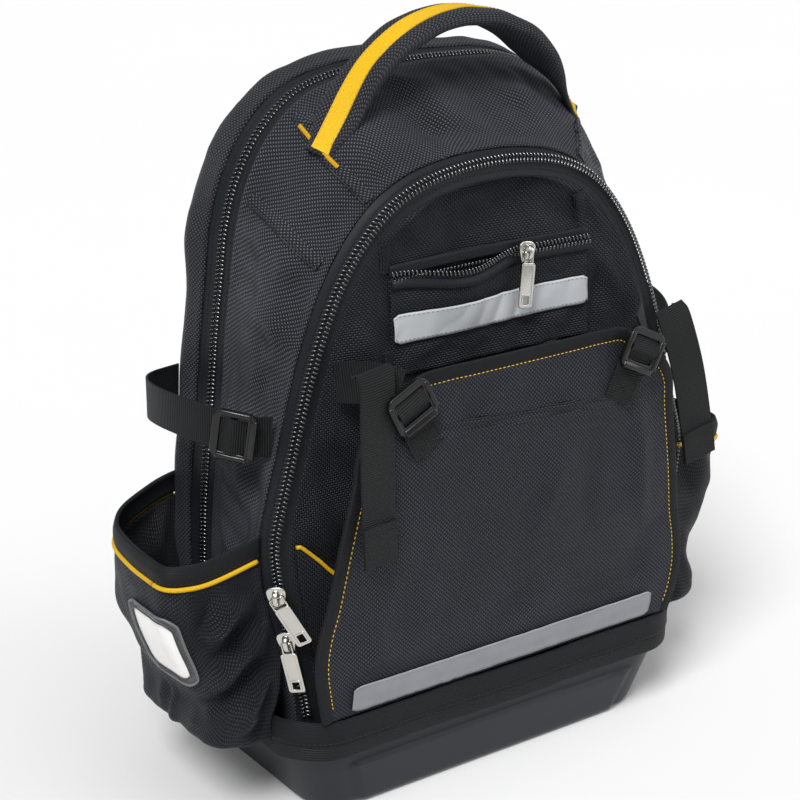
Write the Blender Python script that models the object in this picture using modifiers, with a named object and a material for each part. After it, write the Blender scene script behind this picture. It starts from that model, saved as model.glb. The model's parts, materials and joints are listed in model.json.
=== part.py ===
# A tool backpack that stands on a moulded base. The frame: +X to the right of someone facing its front,
# -Y out of the front, +Z up, and the origin at the middle of the base's flat underside.
import bmesh
import bpy
import numpy as np
from mathutils import Matrix, Vector

# Driving sizes, metres
BASE_HALF_WIDTH = 0.138
BASE_FRONT = 0.088
BASE_BACK = 0.0585
BASE_FLARE = 0.026
BASE_CORNER = 0.026
BASE_HEIGHT = 0.060
BASE_WALL = 0.003
BASE_LIP = 0.017
FACET_DEPTH = 0.003
BASE_EDGE = 0.006
BINDING_LOW = 0.048
BINDING_TOP = 0.0755
BINDING_THICK = 0.0035
CLEARANCE = 0.0004

FRONT_TOP = 0.424
FRONT_HALF_WIDTH = BASE_HALF_WIDTH + 0.032
REAR_TOP = 0.474
REAR_HALF_WIDTH = BASE_HALF_WIDTH + 0.022
FRONT_Y = 0.0893
FRONT_LEAN = 0.015
FRONT_TOE = 0.002
REAR_Y = 0.0285
REAR_LEAN = 0.0485
BACK_Y = 0.072
CLOTH = 0.002
ZIP_TAPE = 0.012
CHAIN_HALF = 0.0045
CHAIN_RISE = 0.0022
GUSSET_SWELL = 0.005
REAR_SWELL = 0.008
REAR_CORNER = 0.030
LID_RECESS = 0.009

WEBBING = 0.027
WEBBING_THICK = 0.0016

# Outlines of the two zipped arches: height as a share of the arch, half-width as a share of its widest
FRONT_ARCH = (
    (0.000, 0.880),
    (0.058, 0.888),
    (0.188, 0.942),
    (0.312, 0.990),
    (0.395, 1.000),
    (0.505, 0.938),
    (0.616, 0.872),
    (0.699, 0.815),
    (0.768, 0.759),
    (0.823, 0.703),
    (0.878, 0.624),
    (0.923, 0.535),
    (0.959, 0.429),
    (0.983, 0.294),
    (0.996, 0.147),
    (1.000, 0.000),
)
REAR_ARCH = (
    (0.000, 0.935),
    (0.141, 0.994),
    (0.335, 0.994),
    (0.529, 0.963),
    (0.675, 0.925),
    (0.740, 0.909),
    (0.784, 0.897),
    (0.828, 0.866),
    (0.867, 0.825),
    (0.903, 0.769),
    (0.937, 0.694),
    (0.964, 0.606),
    (0.985, 0.488),
    (0.995, 0.325),
    (0.999, 0.156),
    (1.000, 0.000),
)
COLUMNS = 16

# Soft dents and swells: side, share of the way round from the front arch (0) to the rear arch (1),
# height as a share of the rear arch, reach as a share of it, depth as a share of DENT_DEPTH
DENT_DEPTH = 0.006
DENTS = (
    (-1, 0.50, 0.80, 0.10, 0.8),
    (-1, 0.35, 0.93, 0.09, -0.5),
    (-1, 0.60, 0.55, 0.12, 0.6),
    (1, 0.55, 0.78, 0.11, 0.7),
    (1, 0.40, 0.50, 0.12, 0.5),
    (1, 0.30, 0.95, 0.08, -0.5),
)

# Front flap
FLAP_TOP = 0.308
FLAP_HALF_WIDTH = 0.155
FLAP_STAND_OFF = 0.120
FLAP_FOOT = 0.1045
FLAP_THICK = 0.003
FLAP_BINDING = 0.008
FLAP_BINDING_THICK = 0.0042
FLAP_SWELL = 0.005
# height as a share of the flap, half-width as a share of its widest
FLAP_OUTLINE = (
    (0.000, 0.955),
    (0.090, 0.985),
    (0.170, 1.000),
    (0.270, 0.985),
    (0.370, 0.948),
    (0.490, 0.918),
    (0.660, 0.868),
    (0.750, 0.842),
    (0.835, 0.826),
    (0.865, 0.806),
    (0.960, 0.585),
    (0.990, 0.548),
    (1.000, 0.500),
    (1.000, 0.250),
    (1.000, 0.000),
)
# how far the flap stands off: height as a share of the flap, stand-off as a share of the way out
FLAP_LEAN = ((0.0, 0.0), (0.06, 0.22), (0.26, 0.30), (0.49, 0.60), (0.75, 0.90), (1.0, 1.0))

# Flap locks and the two webbing tails
LOCK_X = 0.094
LOCK_DROP = 0.017
STUB_X = 0.079
STUB_DROP = 0.047
STRAP_SEAM_Z = 0.302
STRAP_SEAM_INSET = 0.0175
# middle line of each tail: x, how far it stands off the zip's plane, how far below the flap's top
LEFT_TAIL = (
    (0.1195, 0.0349, 0.024),
    (0.1195, 0.0377, 0.055),
    (0.1185, 0.0372, 0.085),
    (0.1170, 0.0367, 0.118),
)
RIGHT_TAIL = (
    (0.1383, 0.0085, 0.005),
    (0.1500, 0.0100, 0.016),
    (0.1600, 0.0130, 0.050),
    (0.1700, 0.0130, 0.090),
    (0.1795, 0.0090, 0.122),
)

# Reflective strips
REFLECTIVE_TALL = 0.019
REFLECTIVE_THICK = 0.0008
FLAP_STRIP_RISE = 0.004
FLAP_STRIP_INSET = 0.018

# Upper pocket
POCKET_STRIP_RISE = 0.021
POCKET_TAPE = 0.0075
POCKET_TAPE_THICK = 0.0030
POCKET_HALF_WIDTH = 0.080
POCKET_LOW = 0.296
POCKET_MOUTH = 0.360
POCKET_GAPE = 0.012
POCKET_SAG = 0.005
POCKET_OPEN_TO = 0.028
POCKET_STAND = 0.0023

# Inner pocket behind the flap
INNER_LOW = 0.098
INNER_SIDE = 0.196
INNER_DIP = 0.168
INNER_STAND = 0.0018
INNER_GAPE = 0.0090

# Side pockets
SIDE_OUT_LEFT = 0.067
SIDE_OUT_RIGHT = 0.056
SIDE_LOW = 0.060
SIDE_PIPING = 0.189
SIDE_RIM = 0.0135
SIDE_RIM_THICK = 0.0026
SIDE_FRONT_Y = 0.0745
SIDE_COLUMNS = 16
WINDOW_THICK = 0.0012
SIDE_BACK_Y = 0.050
PIPING_RADIUS = 0.0012
# plan of a side pocket: share of the way out, share of the way from its front seam to its back seam
SIDE_PLAN = (
    (0.00, 0.000),
    (0.35, 0.004),
    (0.74, 0.022),
    (0.95, 0.085),
    (1.00, 0.240),
    (1.01, 0.460),
    (0.95, 0.700),
    (0.72, 0.880),
    (0.35, 0.965),
    (0.00, 1.000),
)
# height as a share of the pocket, how far it stands out as a share of its most
SIDE_LEVELS = (
    (0.00, 0.06),
    (0.015, 0.60),
    (0.10, 0.68),
    (0.23, 0.74),
    (0.45, 0.95),
    (0.65, 1.00),
    (0.85, 1.01),
    (1.00, 0.99),
)

# the window on the left pocket: its columns as shares round the pocket, its height as shares of the pocket's
WINDOW_COLUMNS = [column / SIDE_COLUMNS for column in (3.9, 5, 6, 7, 7.5)]
WINDOW_LOW = 0.38
WINDOW_HIGH = 0.84
WINDOW_BORDER_ROUND = 0.03
WINDOW_BORDER_UP = 0.07

# Side straps: share of the way out, share of the way from front to back
SIDE_STRAP_Z = 0.268
SIDE_STRAP_OUT = 0.042
SIDE_STRAP_PLAN = (
    (0.00, 0.00),
    (0.34, 0.06),
    (0.70, 0.22),
    (0.94, 0.42),
    (1.00, 0.60),
    (0.88, 0.78),
    (0.55, 0.93),
    (0.00, 1.00),
)

# Handle
HANDLE_HALF_SPAN = 0.102
HANDLE_TOP = 0.516
HANDLE_WIDTH = 0.030
HANDLE_THICK = 0.012
HANDLE_FOOT = 0.35
STRIPE_WIDTH = 0.011
STRIPE_THICK = 0.0012
# right half of the handle's middle line: share of the half-span, share of the rise
HANDLE_LINE = ((1.04, 0.00), (0.99, 0.075), (0.915, 0.22), (0.77, 0.48), (0.57, 0.74), (0.31, 0.93), (0.0, 1.0))

# Ladder-locks and zip sliders
LOCK_WIDTH = 0.034
LOCK_LENGTH = 0.029
LOCK_THICK = 0.0045
SLIDER_LENGTH = 0.013
SLIDER_WIDTH = 0.0095
SLIDER_THICK = 0.0028
BRIDGE_WIDTH = 0.003
BRIDGE_LENGTH = 0.009
BRIDGE_HEIGHT = 0.0045
BRIDGE_BAR = 0.0013
PIN_RADIUS = 0.0007
PULL_WIDTH = 0.0105
PULL_LENGTH = 0.029
PULL_THICK = 0.0014
RING_REACH = 0.0068
UPPER_SLIDER_Z = 0.167
LOWER_SLIDER_Z = 0.134
UPPER_PULL_TWIST = 0.42
REAR_SLIDER_SHARE = 0.52

# Back
PAD_HALF_WIDTH = 0.105
PAD_LOW = 0.115
PAD_TOP = 0.390
PAD_THICK = 0.014
SHOULDER_WIDTH = 0.060
SHOULDER_THICK = 0.011
SHOULDER_X = 0.062
SHOULDER_BOW = 0.045
ANCHOR_X = 0.118
# middle line of a shoulder strap: x as a share of SHOULDER_X, stand-off from the pad as a share of the
# bow, height as a share of the rear arch
SHOULDER_LINE = (
    (1.00, 0.72, 0.80),
    (1.06, 1.00, 0.60),
    (1.18, 0.68, 0.42),
    (1.35, 0.27, 0.305),
)

# name: colour, roughness, metallic
LOOKS = {
    "moulded": ((0.045, 0.050, 0.056), 0.55, 0.0),
    "fabric": ((0.012, 0.013, 0.017), 0.70, 0.0),
    "tape": ((0.010, 0.011, 0.014), 0.60, 0.0),
    "webbing": ((0.013, 0.013, 0.015), 0.75, 0.0),
    "trim": ((0.90, 0.50, 0.02), 0.55, 0.0),
    "reflective": ((0.36, 0.37, 0.39), 0.35, 0.0),
    "nickel": ((0.62, 0.60, 0.56), 0.25, 1.0),
    "buckle": ((0.016, 0.016, 0.018), 0.40, 0.0),
    "vinyl": ((0.75, 0.77, 0.78), 0.10, 0.0),
    "card": ((0.80, 0.80, 0.78), 0.60, 0.0),
    "padding": ((0.015, 0.015, 0.018), 0.85, 0.0),
}


def clear_scene():
    for obj in list(bpy.data.objects):
        bpy.data.objects.remove(obj, do_unlink=True)


def new_collection(name):
    collection = bpy.data.collections.new(name)
    bpy.context.scene.collection.children.link(collection)
    return collection


def material(look):
    name = look + "_material"
    if name in bpy.data.materials:
        return bpy.data.materials[name]
    colour, roughness, metallic = LOOKS[look]
    made = bpy.data.materials.new(name)
    made.use_nodes = True
    shader = made.node_tree.nodes["Principled BSDF"]
    shader.inputs["Base Color"].default_value = (*colour, 1.0)
    shader.inputs["Roughness"].default_value = roughness
    shader.inputs["Metallic"].default_value = metallic
    return made


def add_object(name, data, look, collection=None):
    obj = bpy.data.objects.new(name, data)
    (collection or PARTS).objects.link(obj)
    data.materials.append(material(look))
    return obj


def smooth(value, start, end):
    share = np.clip((np.asarray(value, float) - start) / (end - start), 0, 1)
    return share * share * (3 - 2 * share)


def look_up(table, at):
    rows = np.array(table, float)
    return np.interp(at, rows[:, 0], rows[:, 1])


# A smooth line through the points, at even spacing
def spline(points, count):
    points = np.array(points, float)
    ends = np.vstack([2 * points[0] - points[1], points, 2 * points[-1] - points[-2]])
    fine = []
    for i in range(len(points) - 1):
        before, start, end, after = ends[i : i + 4]
        for t in np.linspace(0, 1, 12, endpoint=False):
            fine.append(
                0.5
                * (
                    2 * start
                    + (end - before) * t
                    + (2 * before - 5 * start + 4 * end - after) * t**2
                    + (3 * start - before - 3 * end + after) * t**3
                )
            )
    fine = np.vstack([fine, points[-1]])
    return even(fine, count)


def even(points, count):
    run = np.concatenate([[0], np.cumsum(np.linalg.norm(np.diff(points, axis=0), axis=1))])
    at = np.linspace(0, run[-1], count)
    return np.stack([np.interp(at, run, points[:, k]) for k in range(points.shape[1])], 1)


# (x, z) from the left foot over the top to the right foot
def arch_line(table, low, top, half_width):
    left = [(-share * half_width, low + height * (top - low)) for height, share in table]
    whole = left + [(-x, z) for x, z in reversed(left[:-1])]
    return spline(whole, 2 * COLUMNS + 1)


# The line moved outwards by a distance that fades to nothing at the feet
def outset(line, distance, fade_low, fade_high):
    run = np.gradient(line, axis=0)
    normal = np.stack([-run[:, 1], run[:, 0]], 1)
    normal /= np.linalg.norm(normal, axis=1)[:, None]
    fade = smooth(line[:, 1], fade_low, fade_high)[:, None] if distance > 0 else 1.0
    moved = line + normal * distance * fade
    moved[0, 1] = line[0, 1]
    moved[-1, 1] = line[-1, 1]
    return moved


def ring(line, y):
    return np.stack([line[:, 0], np.broadcast_to(y, len(line)), line[:, 1]], 1)


def front_plane(z):
    return -(FRONT_Y - FRONT_LEAN * z) - FRONT_TOE * (1 - smooth(z, BINDING_TOP - 0.006, BINDING_TOP + 0.065))


def rear_plane(z):
    return REAR_Y - REAR_LEAN * z


def half_width_at(line, z):
    half = line[: COLUMNS + 1]
    return -np.interp(z, half[:, 1], half[:, 0])


# Outer face of the front panel
def front_face(x, z):
    half = np.maximum(half_width_at(FRONT_LINE, z), 0.02)
    recess = LID_RECESS * smooth(z, FLAP_TOP - 0.05, FLAP_TOP + 0.05)
    return front_plane(z) - CLOTH + recess * (1 - np.clip(x / half, -1, 1) ** 2)


# Rings from a ring inwards to its middle line, whose left and right points meet
def fill_rings(edge, steps, crown):
    low, top = edge[0, 2], edge[COLUMNS, 2]
    found = []
    for share in np.linspace(0, 1, steps + 1)[1:]:
        inner = edge.copy()
        inner[:, 0] *= 1 - share
        middle = low + (edge[:, 2] - low) * (1 - crown)
        inner[:, 2] += (middle - edge[:, 2]) * share
        found.append(inner)
    return found


def normals_of(stack):
    along = np.gradient(stack, axis=1)
    across = np.gradient(stack, axis=0)
    normal = np.cross(across, along)
    normal /= np.maximum(np.linalg.norm(normal, axis=2), 1e-9)[:, :, None]
    return normal


# Closed cloth made from a run of rings and their inner twins, a hair short of its neighbours
def skin(name, outer, inner, look, short_first=True, short_last=True):
    outer, inner = outer.copy(), inner.copy()
    for grid in (outer, inner):
        for edge, nxt, short in ((0, 1, short_first), (-1, -2, short_last)):
            if short:
                step = grid[nxt] - grid[edge]
                step /= np.linalg.norm(step, axis=1)[:, None]
                grid[edge] += step * CLEARANCE / 2
    rows, columns = outer.shape[:2]
    points = np.concatenate([outer.reshape(-1, 3), inner.reshape(-1, 3)])
    total = rows * columns
    faces = []

    def at(row, column, layer=0):
        return layer * total + row * columns + column

    for r in range(rows - 1):
        for c in range(columns - 1):
            faces.append((at(r, c), at(r, c + 1), at(r + 1, c + 1), at(r + 1, c)))
            faces.append((at(r, c, 1), at(r + 1, c, 1), at(r + 1, c + 1, 1), at(r, c + 1, 1)))
        faces.append((at(r, 0), at(r + 1, 0), at(r + 1, 0, 1), at(r, 0, 1)))
        last = columns - 1
        faces.append((at(r, last), at(r, last, 1), at(r + 1, last, 1), at(r + 1, last)))
    for c in range(columns - 1):
        if short_first:
            faces.append((at(0, c), at(0, c, 1), at(0, c + 1, 1), at(0, c + 1)))
        if short_last:
            last = rows - 1
            faces.append((at(last, c), at(last, c + 1), at(last, c + 1, 1), at(last, c, 1)))
    return mesh_object(name, points, faces, look)


def mesh_object(name, points, faces, look):
    mesh = bpy.data.meshes.new(name)
    mesh.from_pydata([tuple(p) for p in points], [], faces)
    work = bmesh.new()
    work.from_mesh(mesh)
    bmesh.ops.remove_doubles(work, verts=work.verts, dist=1e-5)
    bmesh.ops.dissolve_degenerate(work, edges=work.edges, dist=1e-6)
    bmesh.ops.recalc_face_normals(work, faces=work.faces)
    work.to_mesh(mesh)
    work.free()
    return add_object(name, mesh, look)


# An open surface from a grid of points, thickened both ways by Solidify
def sheet(name, grid, thickness, look, wrap=False):
    grid = np.array(grid, float)
    rows, columns = grid.shape[:2]
    faces = []
    for r in range(rows - 1):
        for c in range(columns if wrap else columns - 1):
            nxt = (c + 1) % columns
            faces.append((r * columns + c, r * columns + nxt, (r + 1) * columns + nxt, (r + 1) * columns + c))
    obj = mesh_object(name, grid.reshape(-1, 3), faces, look)
    shell = obj.modifiers.new("thickness", "SOLIDIFY")
    shell.thickness = thickness
    shell.offset = 0
    shell.use_even_offset = True
    return obj


# A closed solid through closed rings, with a flat cap on its first and last ring
def loft(name, rings, look):
    rings = np.array(rings, float)
    count, around = rings.shape[:2]
    faces = [tuple(range(around)), tuple((count - 1) * around + k for k in range(around))]
    for r in range(count - 1):
        for k in range(around):
            nxt = (k + 1) % around
            faces.append((r * around + k, r * around + nxt, (r + 1) * around + nxt, (r + 1) * around + k))
    return mesh_object(name, rings.reshape(-1, 3), faces, look)


# A tube closed on itself through rings, like a band
def band(name, rings, look):
    rings = np.array(rings, float)
    count, around = rings.shape[:2]
    faces = []
    for r in range(count):
        for k in range(around):
            a, b = r, (r + 1) % count
            nxt = (k + 1) % around
            faces.append((a * around + k, a * around + nxt, b * around + nxt, b * around + k))
    return mesh_object(name, rings.reshape(-1, 3), faces, look)


def ribbon(name, path, across, width, thickness, look):
    path = np.array(path, float)
    across = np.broadcast_to(np.array(across, float), path.shape)
    across = across / np.linalg.norm(across, axis=1)[:, None]
    grid = np.stack([path - across * width / 2, path + across * width / 2], 1)
    return sheet(name, grid, thickness, look)


def tube(name, path, radius, look):
    curve = bpy.data.curves.new(name, "CURVE")
    curve.dimensions = "3D"
    curve.bevel_depth = radius
    curve.bevel_resolution = 2
    curve.use_fill_caps = True
    line = curve.splines.new("POLY")
    line.points.add(len(path) - 1)
    for point, place in zip(line.points, path):
        point.co = (*place, 1.0)
    return add_object(name, curve, look)


def rounded_plan(half_width, front, back, radius):
    corners = ((1, -1, front), (1, 1, back), (-1, 1, back), (-1, -1, front))
    found = []
    for index, (sx, sy, reach) in enumerate(corners):
        centre = np.array([sx * (half_width - radius), sy * (reach - radius)])
        start = -np.pi / 2 + index * np.pi / 2
        for turn in np.linspace(start, start + np.pi / 2, 6):
            found.append(centre + radius * np.array([np.cos(turn), np.sin(turn)]))
    # the front run gets the facet's two edges
    left, right = found[-1], found[0]
    for share in (0.08, 0.14, 0.5, 0.86, 0.92):
        found.append(left + (right - left) * share)
    return np.array(found)


def base_plan(z, wider=0.0):
    share = z / BASE_HEIGHT
    grow = BASE_FLARE * np.sqrt(max(share, 0)) if share < 0.05 else BASE_FLARE * (0.15 + 0.85 * share)
    return rounded_plan(
        BASE_HALF_WIDTH + grow + wider,
        BASE_FRONT + 0.65 * grow + wider,
        BASE_BACK + 0.6 * grow + wider,
        BASE_CORNER + 0.3 * grow + wider,
    )


def base_ring(z, wider=0.0, facet=0.0):
    plan = base_plan(z, wider)
    plan[-4:-1, 1] -= facet
    return np.column_stack([plan, np.full(len(plan), z)])


def add_base():
    outer = [
        base_ring(0.0, -BASE_EDGE * 0.7, FACET_DEPTH),
        base_ring(BASE_EDGE * 0.3, -BASE_EDGE * 0.2, FACET_DEPTH),
        base_ring(BASE_EDGE, 0.0, FACET_DEPTH),
        base_ring(BASE_HEIGHT * 0.42, 0.0, FACET_DEPTH),
        base_ring(BASE_HEIGHT * 0.66, 0.0, FACET_DEPTH),
        base_ring(BASE_HEIGHT * 0.73, 0.0, 0.0),
        base_ring(BASE_HEIGHT, 0.0, 0.0),
    ]
    inner = [
        base_ring(BASE_HEIGHT, -BASE_LIP),
        base_ring(BASE_HEIGHT - BASE_WALL, -BASE_LIP),
        base_ring(BASE_HEIGHT - 2 * BASE_WALL, -BASE_WALL),
        base_ring(BASE_WALL * 2.5, -BASE_WALL),
        base_ring(BASE_WALL, -BASE_WALL * 2.5),
    ]
    loft("base_tub", outer + inner, "moulded")


def add_base_binding():
    plan = base_plan(BASE_HEIGHT, CLEARANCE)
    outer_plan = base_plan(BASE_HEIGHT, CLEARANCE + BINDING_THICK)
    rings = []
    for k in range(len(plan)):
        section = [
            (*plan[k], BINDING_LOW),
            (*outer_plan[k], BINDING_LOW),
            (*outer_plan[k], (BINDING_LOW + BINDING_TOP) / 2),
            (*outer_plan[k], BINDING_TOP),
            (*plan[k], BINDING_TOP),
        ]
        rings.append(section)
    band("base_binding", rings, "webbing")


# The whole cloth body as one stack of rings, from the middle of the back to the middle of the front
def body_stack():
    low_fade, high_fade = BINDING_TOP, BINDING_TOP + 0.11
    rear_z, front_z = REAR_LINE[:, 1], FRONT_LINE[:, 1]

    def rear_ring(out, past_zip):
        line = outset(REAR_LINE, out, low_fade, high_fade)
        start = rear_plane(rear_z) + ZIP_TAPE
        return ring(line, start + (BACK_Y - start) * past_zip)

    back_edge = rear_ring(-0.95 * REAR_CORNER, 1.0)
    stack = [*reversed(fill_rings(back_edge, 3, 0.10)), back_edge]
    marks = {"back_edge": len(stack) - 1}
    stack += [rear_ring(-0.45 * REAR_CORNER, 0.92), rear_ring(-0.10 * REAR_CORNER, 0.68), rear_ring(REAR_SWELL, 0.34)]
    marks["rear_zip"] = len(stack)
    for step, out in zip(zip_steps(), zip_outs(0.004, 0.001)):
        stack.append(ring(outset(REAR_LINE, out, low_fade, high_fade), rear_plane(rear_z) + step))
    marks["gusset"] = len(stack) - 1
    gusset_back = stack[-1]
    steps = zip_steps()
    front_rings = []
    for step, out in zip(steps, (0.0045, 0.0015, CHAIN_RISE, -0.004, -ZIP_TAPE)):
        line = outset(FRONT_LINE, out, low_fade, high_fade)
        forward = step if step > 0 else step * 0.15
        front_rings.append(ring(line, front_plane(front_z) + forward))
    gusset_front = front_rings[0]
    for share in (0.25, 0.5, 0.75):
        middle = gusset_back + (gusset_front - gusset_back) * share
        line = outset(middle[:, [0, 2]], GUSSET_SWELL * np.sin(np.pi * share), low_fade, high_fade)
        stack.append(ring(line, middle[:, 1]))
    marks["front_zip"] = len(stack)
    stack += front_rings
    marks["front_panel"] = len(stack) - 1
    edge = front_rings[-1]
    for inner in fill_rings(edge, 4, 0.10):
        inner[:, 1] = front_face(inner[:, 0], inner[:, 2])
        stack.append(inner)
    stack = np.array(stack)
    normal = normals_of(stack)
    stack += normal * dents(stack)[:, :, None]
    normal = normals_of(stack)
    for middle in (0, -1):
        normal[middle] = (0, 1 if middle == 0 else -1, 0)
    normal[:, [0, -1], 2] = 0
    normal /= np.linalg.norm(normal, axis=2)[:, :, None]
    return stack, normal, marks


def zip_steps():
    return (ZIP_TAPE, CHAIN_HALF, 0.0, -CHAIN_HALF, -ZIP_TAPE)


def zip_outs(back, front):
    return (back, (back + 0.001) / 2, CHAIN_RISE, (front + 0.001) / 2, front)


def dents(stack):
    depth = np.zeros(stack.shape[:2])
    for side, round_share, height, reach, share in DENTS:
        z = height * REAR_TOP
        y = front_plane(z) + (rear_plane(z) - front_plane(z)) * round_share
        half = half_width_at(FRONT_LINE, min(z, FRONT_TOP * 0.97)) * (1 - round_share)
        half += half_width_at(REAR_LINE, z) * round_share
        gap = (stack - np.array([side * half, y, z])) / (reach * REAR_TOP)
        depth -= DENT_DEPTH * share * np.exp(-(gap**2).sum(axis=2))
    return depth


def add_body():
    stack, normal, marks = body_stack()
    inner = stack - normal * CLOTH
    cuts = {
        "rear_shell": (0, marks["rear_zip"]),
        "rear_zip": (marks["rear_zip"], marks["gusset"]),
        "middle_gusset": (marks["gusset"], marks["front_zip"]),
        "front_zip": (marks["front_zip"], marks["front_panel"]),
        "front_panel": (marks["front_panel"], len(stack) - 1),
    }
    for name, (first, last) in cuts.items():
        look = "tape" if name.endswith("zip") else "fabric"
        skin(
            name,
            stack[first : last + 1],
            inner[first : last + 1],
            look,
            short_first=first > 0,
            short_last=last < len(stack) - 1,
        )
    return stack, normal, marks


def flap_depth(x, z):
    share = (z - FLAP_LOW) / (FLAP_TOP - FLAP_LOW)
    lean = look_up(FLAP_LEAN, share)
    half = FLAP_HALF_WIDTH * look_up([(a, b) for a, b in FLAP_OUTLINE[:11]], np.clip(share, 0, 0.96))
    swell = FLAP_SWELL * np.sin(np.pi * np.clip(share, 0, 1)) * (1 - np.clip(x / half, -1, 1) ** 2)
    return -(FLAP_FOOT + (FLAP_STAND_OFF - FLAP_FOOT) * lean) - swell


def flap_ring(inset):
    line = outset(FLAP_LINE, -inset, FLAP_LOW - 1.0, FLAP_LOW - 0.9)
    return ring(line, flap_depth(line[:, 0], line[:, 1]))


def add_flap():
    edge = flap_ring(FLAP_BINDING + CLEARANCE)
    stack = [edge]
    for inner in fill_rings(edge, 4, 0.12):
        inner[:, 1] = flap_depth(inner[:, 0], inner[:, 2])
        stack.append(inner)
    sheet("front_flap", stack, FLAP_THICK, "fabric")
    sheet("flap_binding", [flap_ring(0.0), flap_ring(FLAP_BINDING)], FLAP_BINDING_THICK, "webbing")
    low = FLAP_LOW + FLAP_STRIP_RISE
    narrowest = look_up(FLAP_OUTLINE, 0.12) * FLAP_HALF_WIDTH
    reflective("reflective_lower", narrowest - FLAP_BINDING - FLAP_STRIP_INSET, low, flap_outer)


def flap_outer(x, z):
    return flap_depth(x, z) - FLAP_THICK / 2


def reflective(name, half, low, face):
    rows = []
    for z in np.linspace(low, low + REFLECTIVE_TALL, 3):
        row = []
        for x in np.linspace(-half, half, 9):
            row.append((x, face(x, z) - REFLECTIVE_THICK / 2 - 2.5 * CLEARANCE, z))
        rows.append(row)
    sheet(name, rows, REFLECTIVE_THICK, "reflective")


def pocket_face(x, z):
    rise = smooth(z, POCKET_LOW, POCKET_MOUTH)
    open_half = (POCKET_HALF_WIDTH + POCKET_OPEN_TO) / 2
    middle = (POCKET_OPEN_TO - POCKET_HALF_WIDTH) / 2
    gape = np.cos(np.clip((x - middle) / open_half, -1, 1) * np.pi / 2) ** 2
    return front_face(x, z) - POCKET_STAND - POCKET_GAPE * gape * rise


def mouth_height(x):
    open_half = (POCKET_HALF_WIDTH + POCKET_OPEN_TO) / 2
    middle = (POCKET_OPEN_TO - POCKET_HALF_WIDTH) / 2
    return POCKET_MOUTH - POCKET_SAG * np.cos(np.clip((x - middle) / open_half, -1, 1) * np.pi / 2) ** 2


def add_upper_pocket():
    rows = []
    for share in np.linspace(0, 1, 5):
        row = []
        for x in np.linspace(-POCKET_HALF_WIDTH, POCKET_HALF_WIDTH, 13):
            z = POCKET_LOW + (mouth_height(x) - POCKET_LOW) * share
            row.append((x, pocket_face(x, z), z))
        rows.append(row)
    sheet("upper_pocket", rows, CLOTH, "fabric")
    reflective("reflective_upper", POCKET_HALF_WIDTH - CLOTH, POCKET_LOW + POCKET_STRIP_RISE, pocket_outer)
    for name, above in (("pocket_zip_lower", False), ("pocket_zip_upper", True)):
        rows = []
        for share in (0, 1):
            row = []
            for x in np.linspace(-POCKET_HALF_WIDTH, POCKET_HALF_WIDTH, 13):
                if above:
                    z = POCKET_MOUTH + CLEARANCE + POCKET_TAPE * share
                    y = front_face(x, z) - POCKET_STAND
                else:
                    z = mouth_height(x) - POCKET_TAPE * share - CLEARANCE
                    y = pocket_face(x, z) - (CLOTH + POCKET_TAPE_THICK) / 2 - 2 * CLEARANCE
                row.append((x, y, z))
            rows.append(row)
        sheet(name, rows, POCKET_TAPE_THICK, "tape")


def pocket_outer(x, z):
    return pocket_face(x, z) - CLOTH / 2


# A place on the inner pocket: share across from -1 to 1, share of the way up
def inner_point(across, up):
    rim = INNER_DIP + (INNER_SIDE - INNER_DIP) * smooth(abs(across), 0.80, 1.0)
    z = INNER_LOW + (rim - INNER_LOW) * up
    x = across * (half_width_at(FRONT_LINE, z) - ZIP_TAPE - 4 * CLEARANCE)
    gape = smooth(up, 0, 0.8) * (1 - smooth(abs(across), 0.60, 1.0))
    return np.array([x, front_face(x, z) - INNER_STAND - INNER_GAPE * gape, z])


def add_inner_pocket():
    across = np.sin(np.linspace(-np.pi / 2, np.pi / 2, 15))
    rows = [[inner_point(share, up) for share in across] for up in np.linspace(0, 1, 5)]
    sheet("inner_pocket", rows, CLOTH, "fabric")
    over = np.array([0, 0, PIPING_RADIUS + CLEARANCE * 6])
    path = [inner_point(share, 1.0) + over for share in across]
    tube("inner_pocket_piping", spline(path, 24), PIPING_RADIUS, "trim")


# How far out the body's side lies at a height and a depth
def body_side(y, z):
    depths, halves = [], []
    for points in BODY[BODY_MARKS["back_edge"] : BODY_MARKS["front_panel"] + 1]:
        half = points[: COLUMNS + 1]
        depths.append(np.interp(z, half[:, 2], half[:, 1]))
        halves.append(-np.interp(z, half[:, 2], half[:, 0]))
    return np.interp(y, depths[::-1], halves[::-1])


def side_seams(side, z):
    over = CLOTH / 2 + 3 * CLEARANCE
    rim = BASE_HALF_WIDTH + BASE_FLARE + BINDING_THICK + CLEARANCE
    ends = []
    for y in (-SIDE_FRONT_Y, SIDE_BACK_Y):
        half = body_side(y, z)
        half += (max(rim - half, 0)) * (1 - smooth(z, BINDING_TOP + 0.002, BINDING_TOP + 0.030))
        ends.append(np.array([side * (half + over), y]))
    return ends


def side_pocket_ring(side, level, lift=0.0, outward=0.0):
    out = SIDE_OUT_LEFT if side < 0 else SIDE_OUT_RIGHT
    z = SIDE_LOW + (SIDE_PIPING - SIDE_LOW) * level + lift
    front, back = side_seams(side, z)
    reach = out * look_up(SIDE_LEVELS, min(level, 1.0))
    points = []
    for share_out, share_back in SIDE_PLAN:
        place = front + (back - front) * share_back
        place[0] += side * reach * share_out
        points.append(place)
    line = spline(points, SIDE_COLUMNS + 1)
    if outward:
        run = np.gradient(line, axis=0)
        normal = np.stack([run[:, 1], -run[:, 0]], 1) * side
        line = line + normal / np.linalg.norm(normal, axis=1)[:, None] * outward
    return np.column_stack([line, np.full(len(line), z)])


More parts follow.
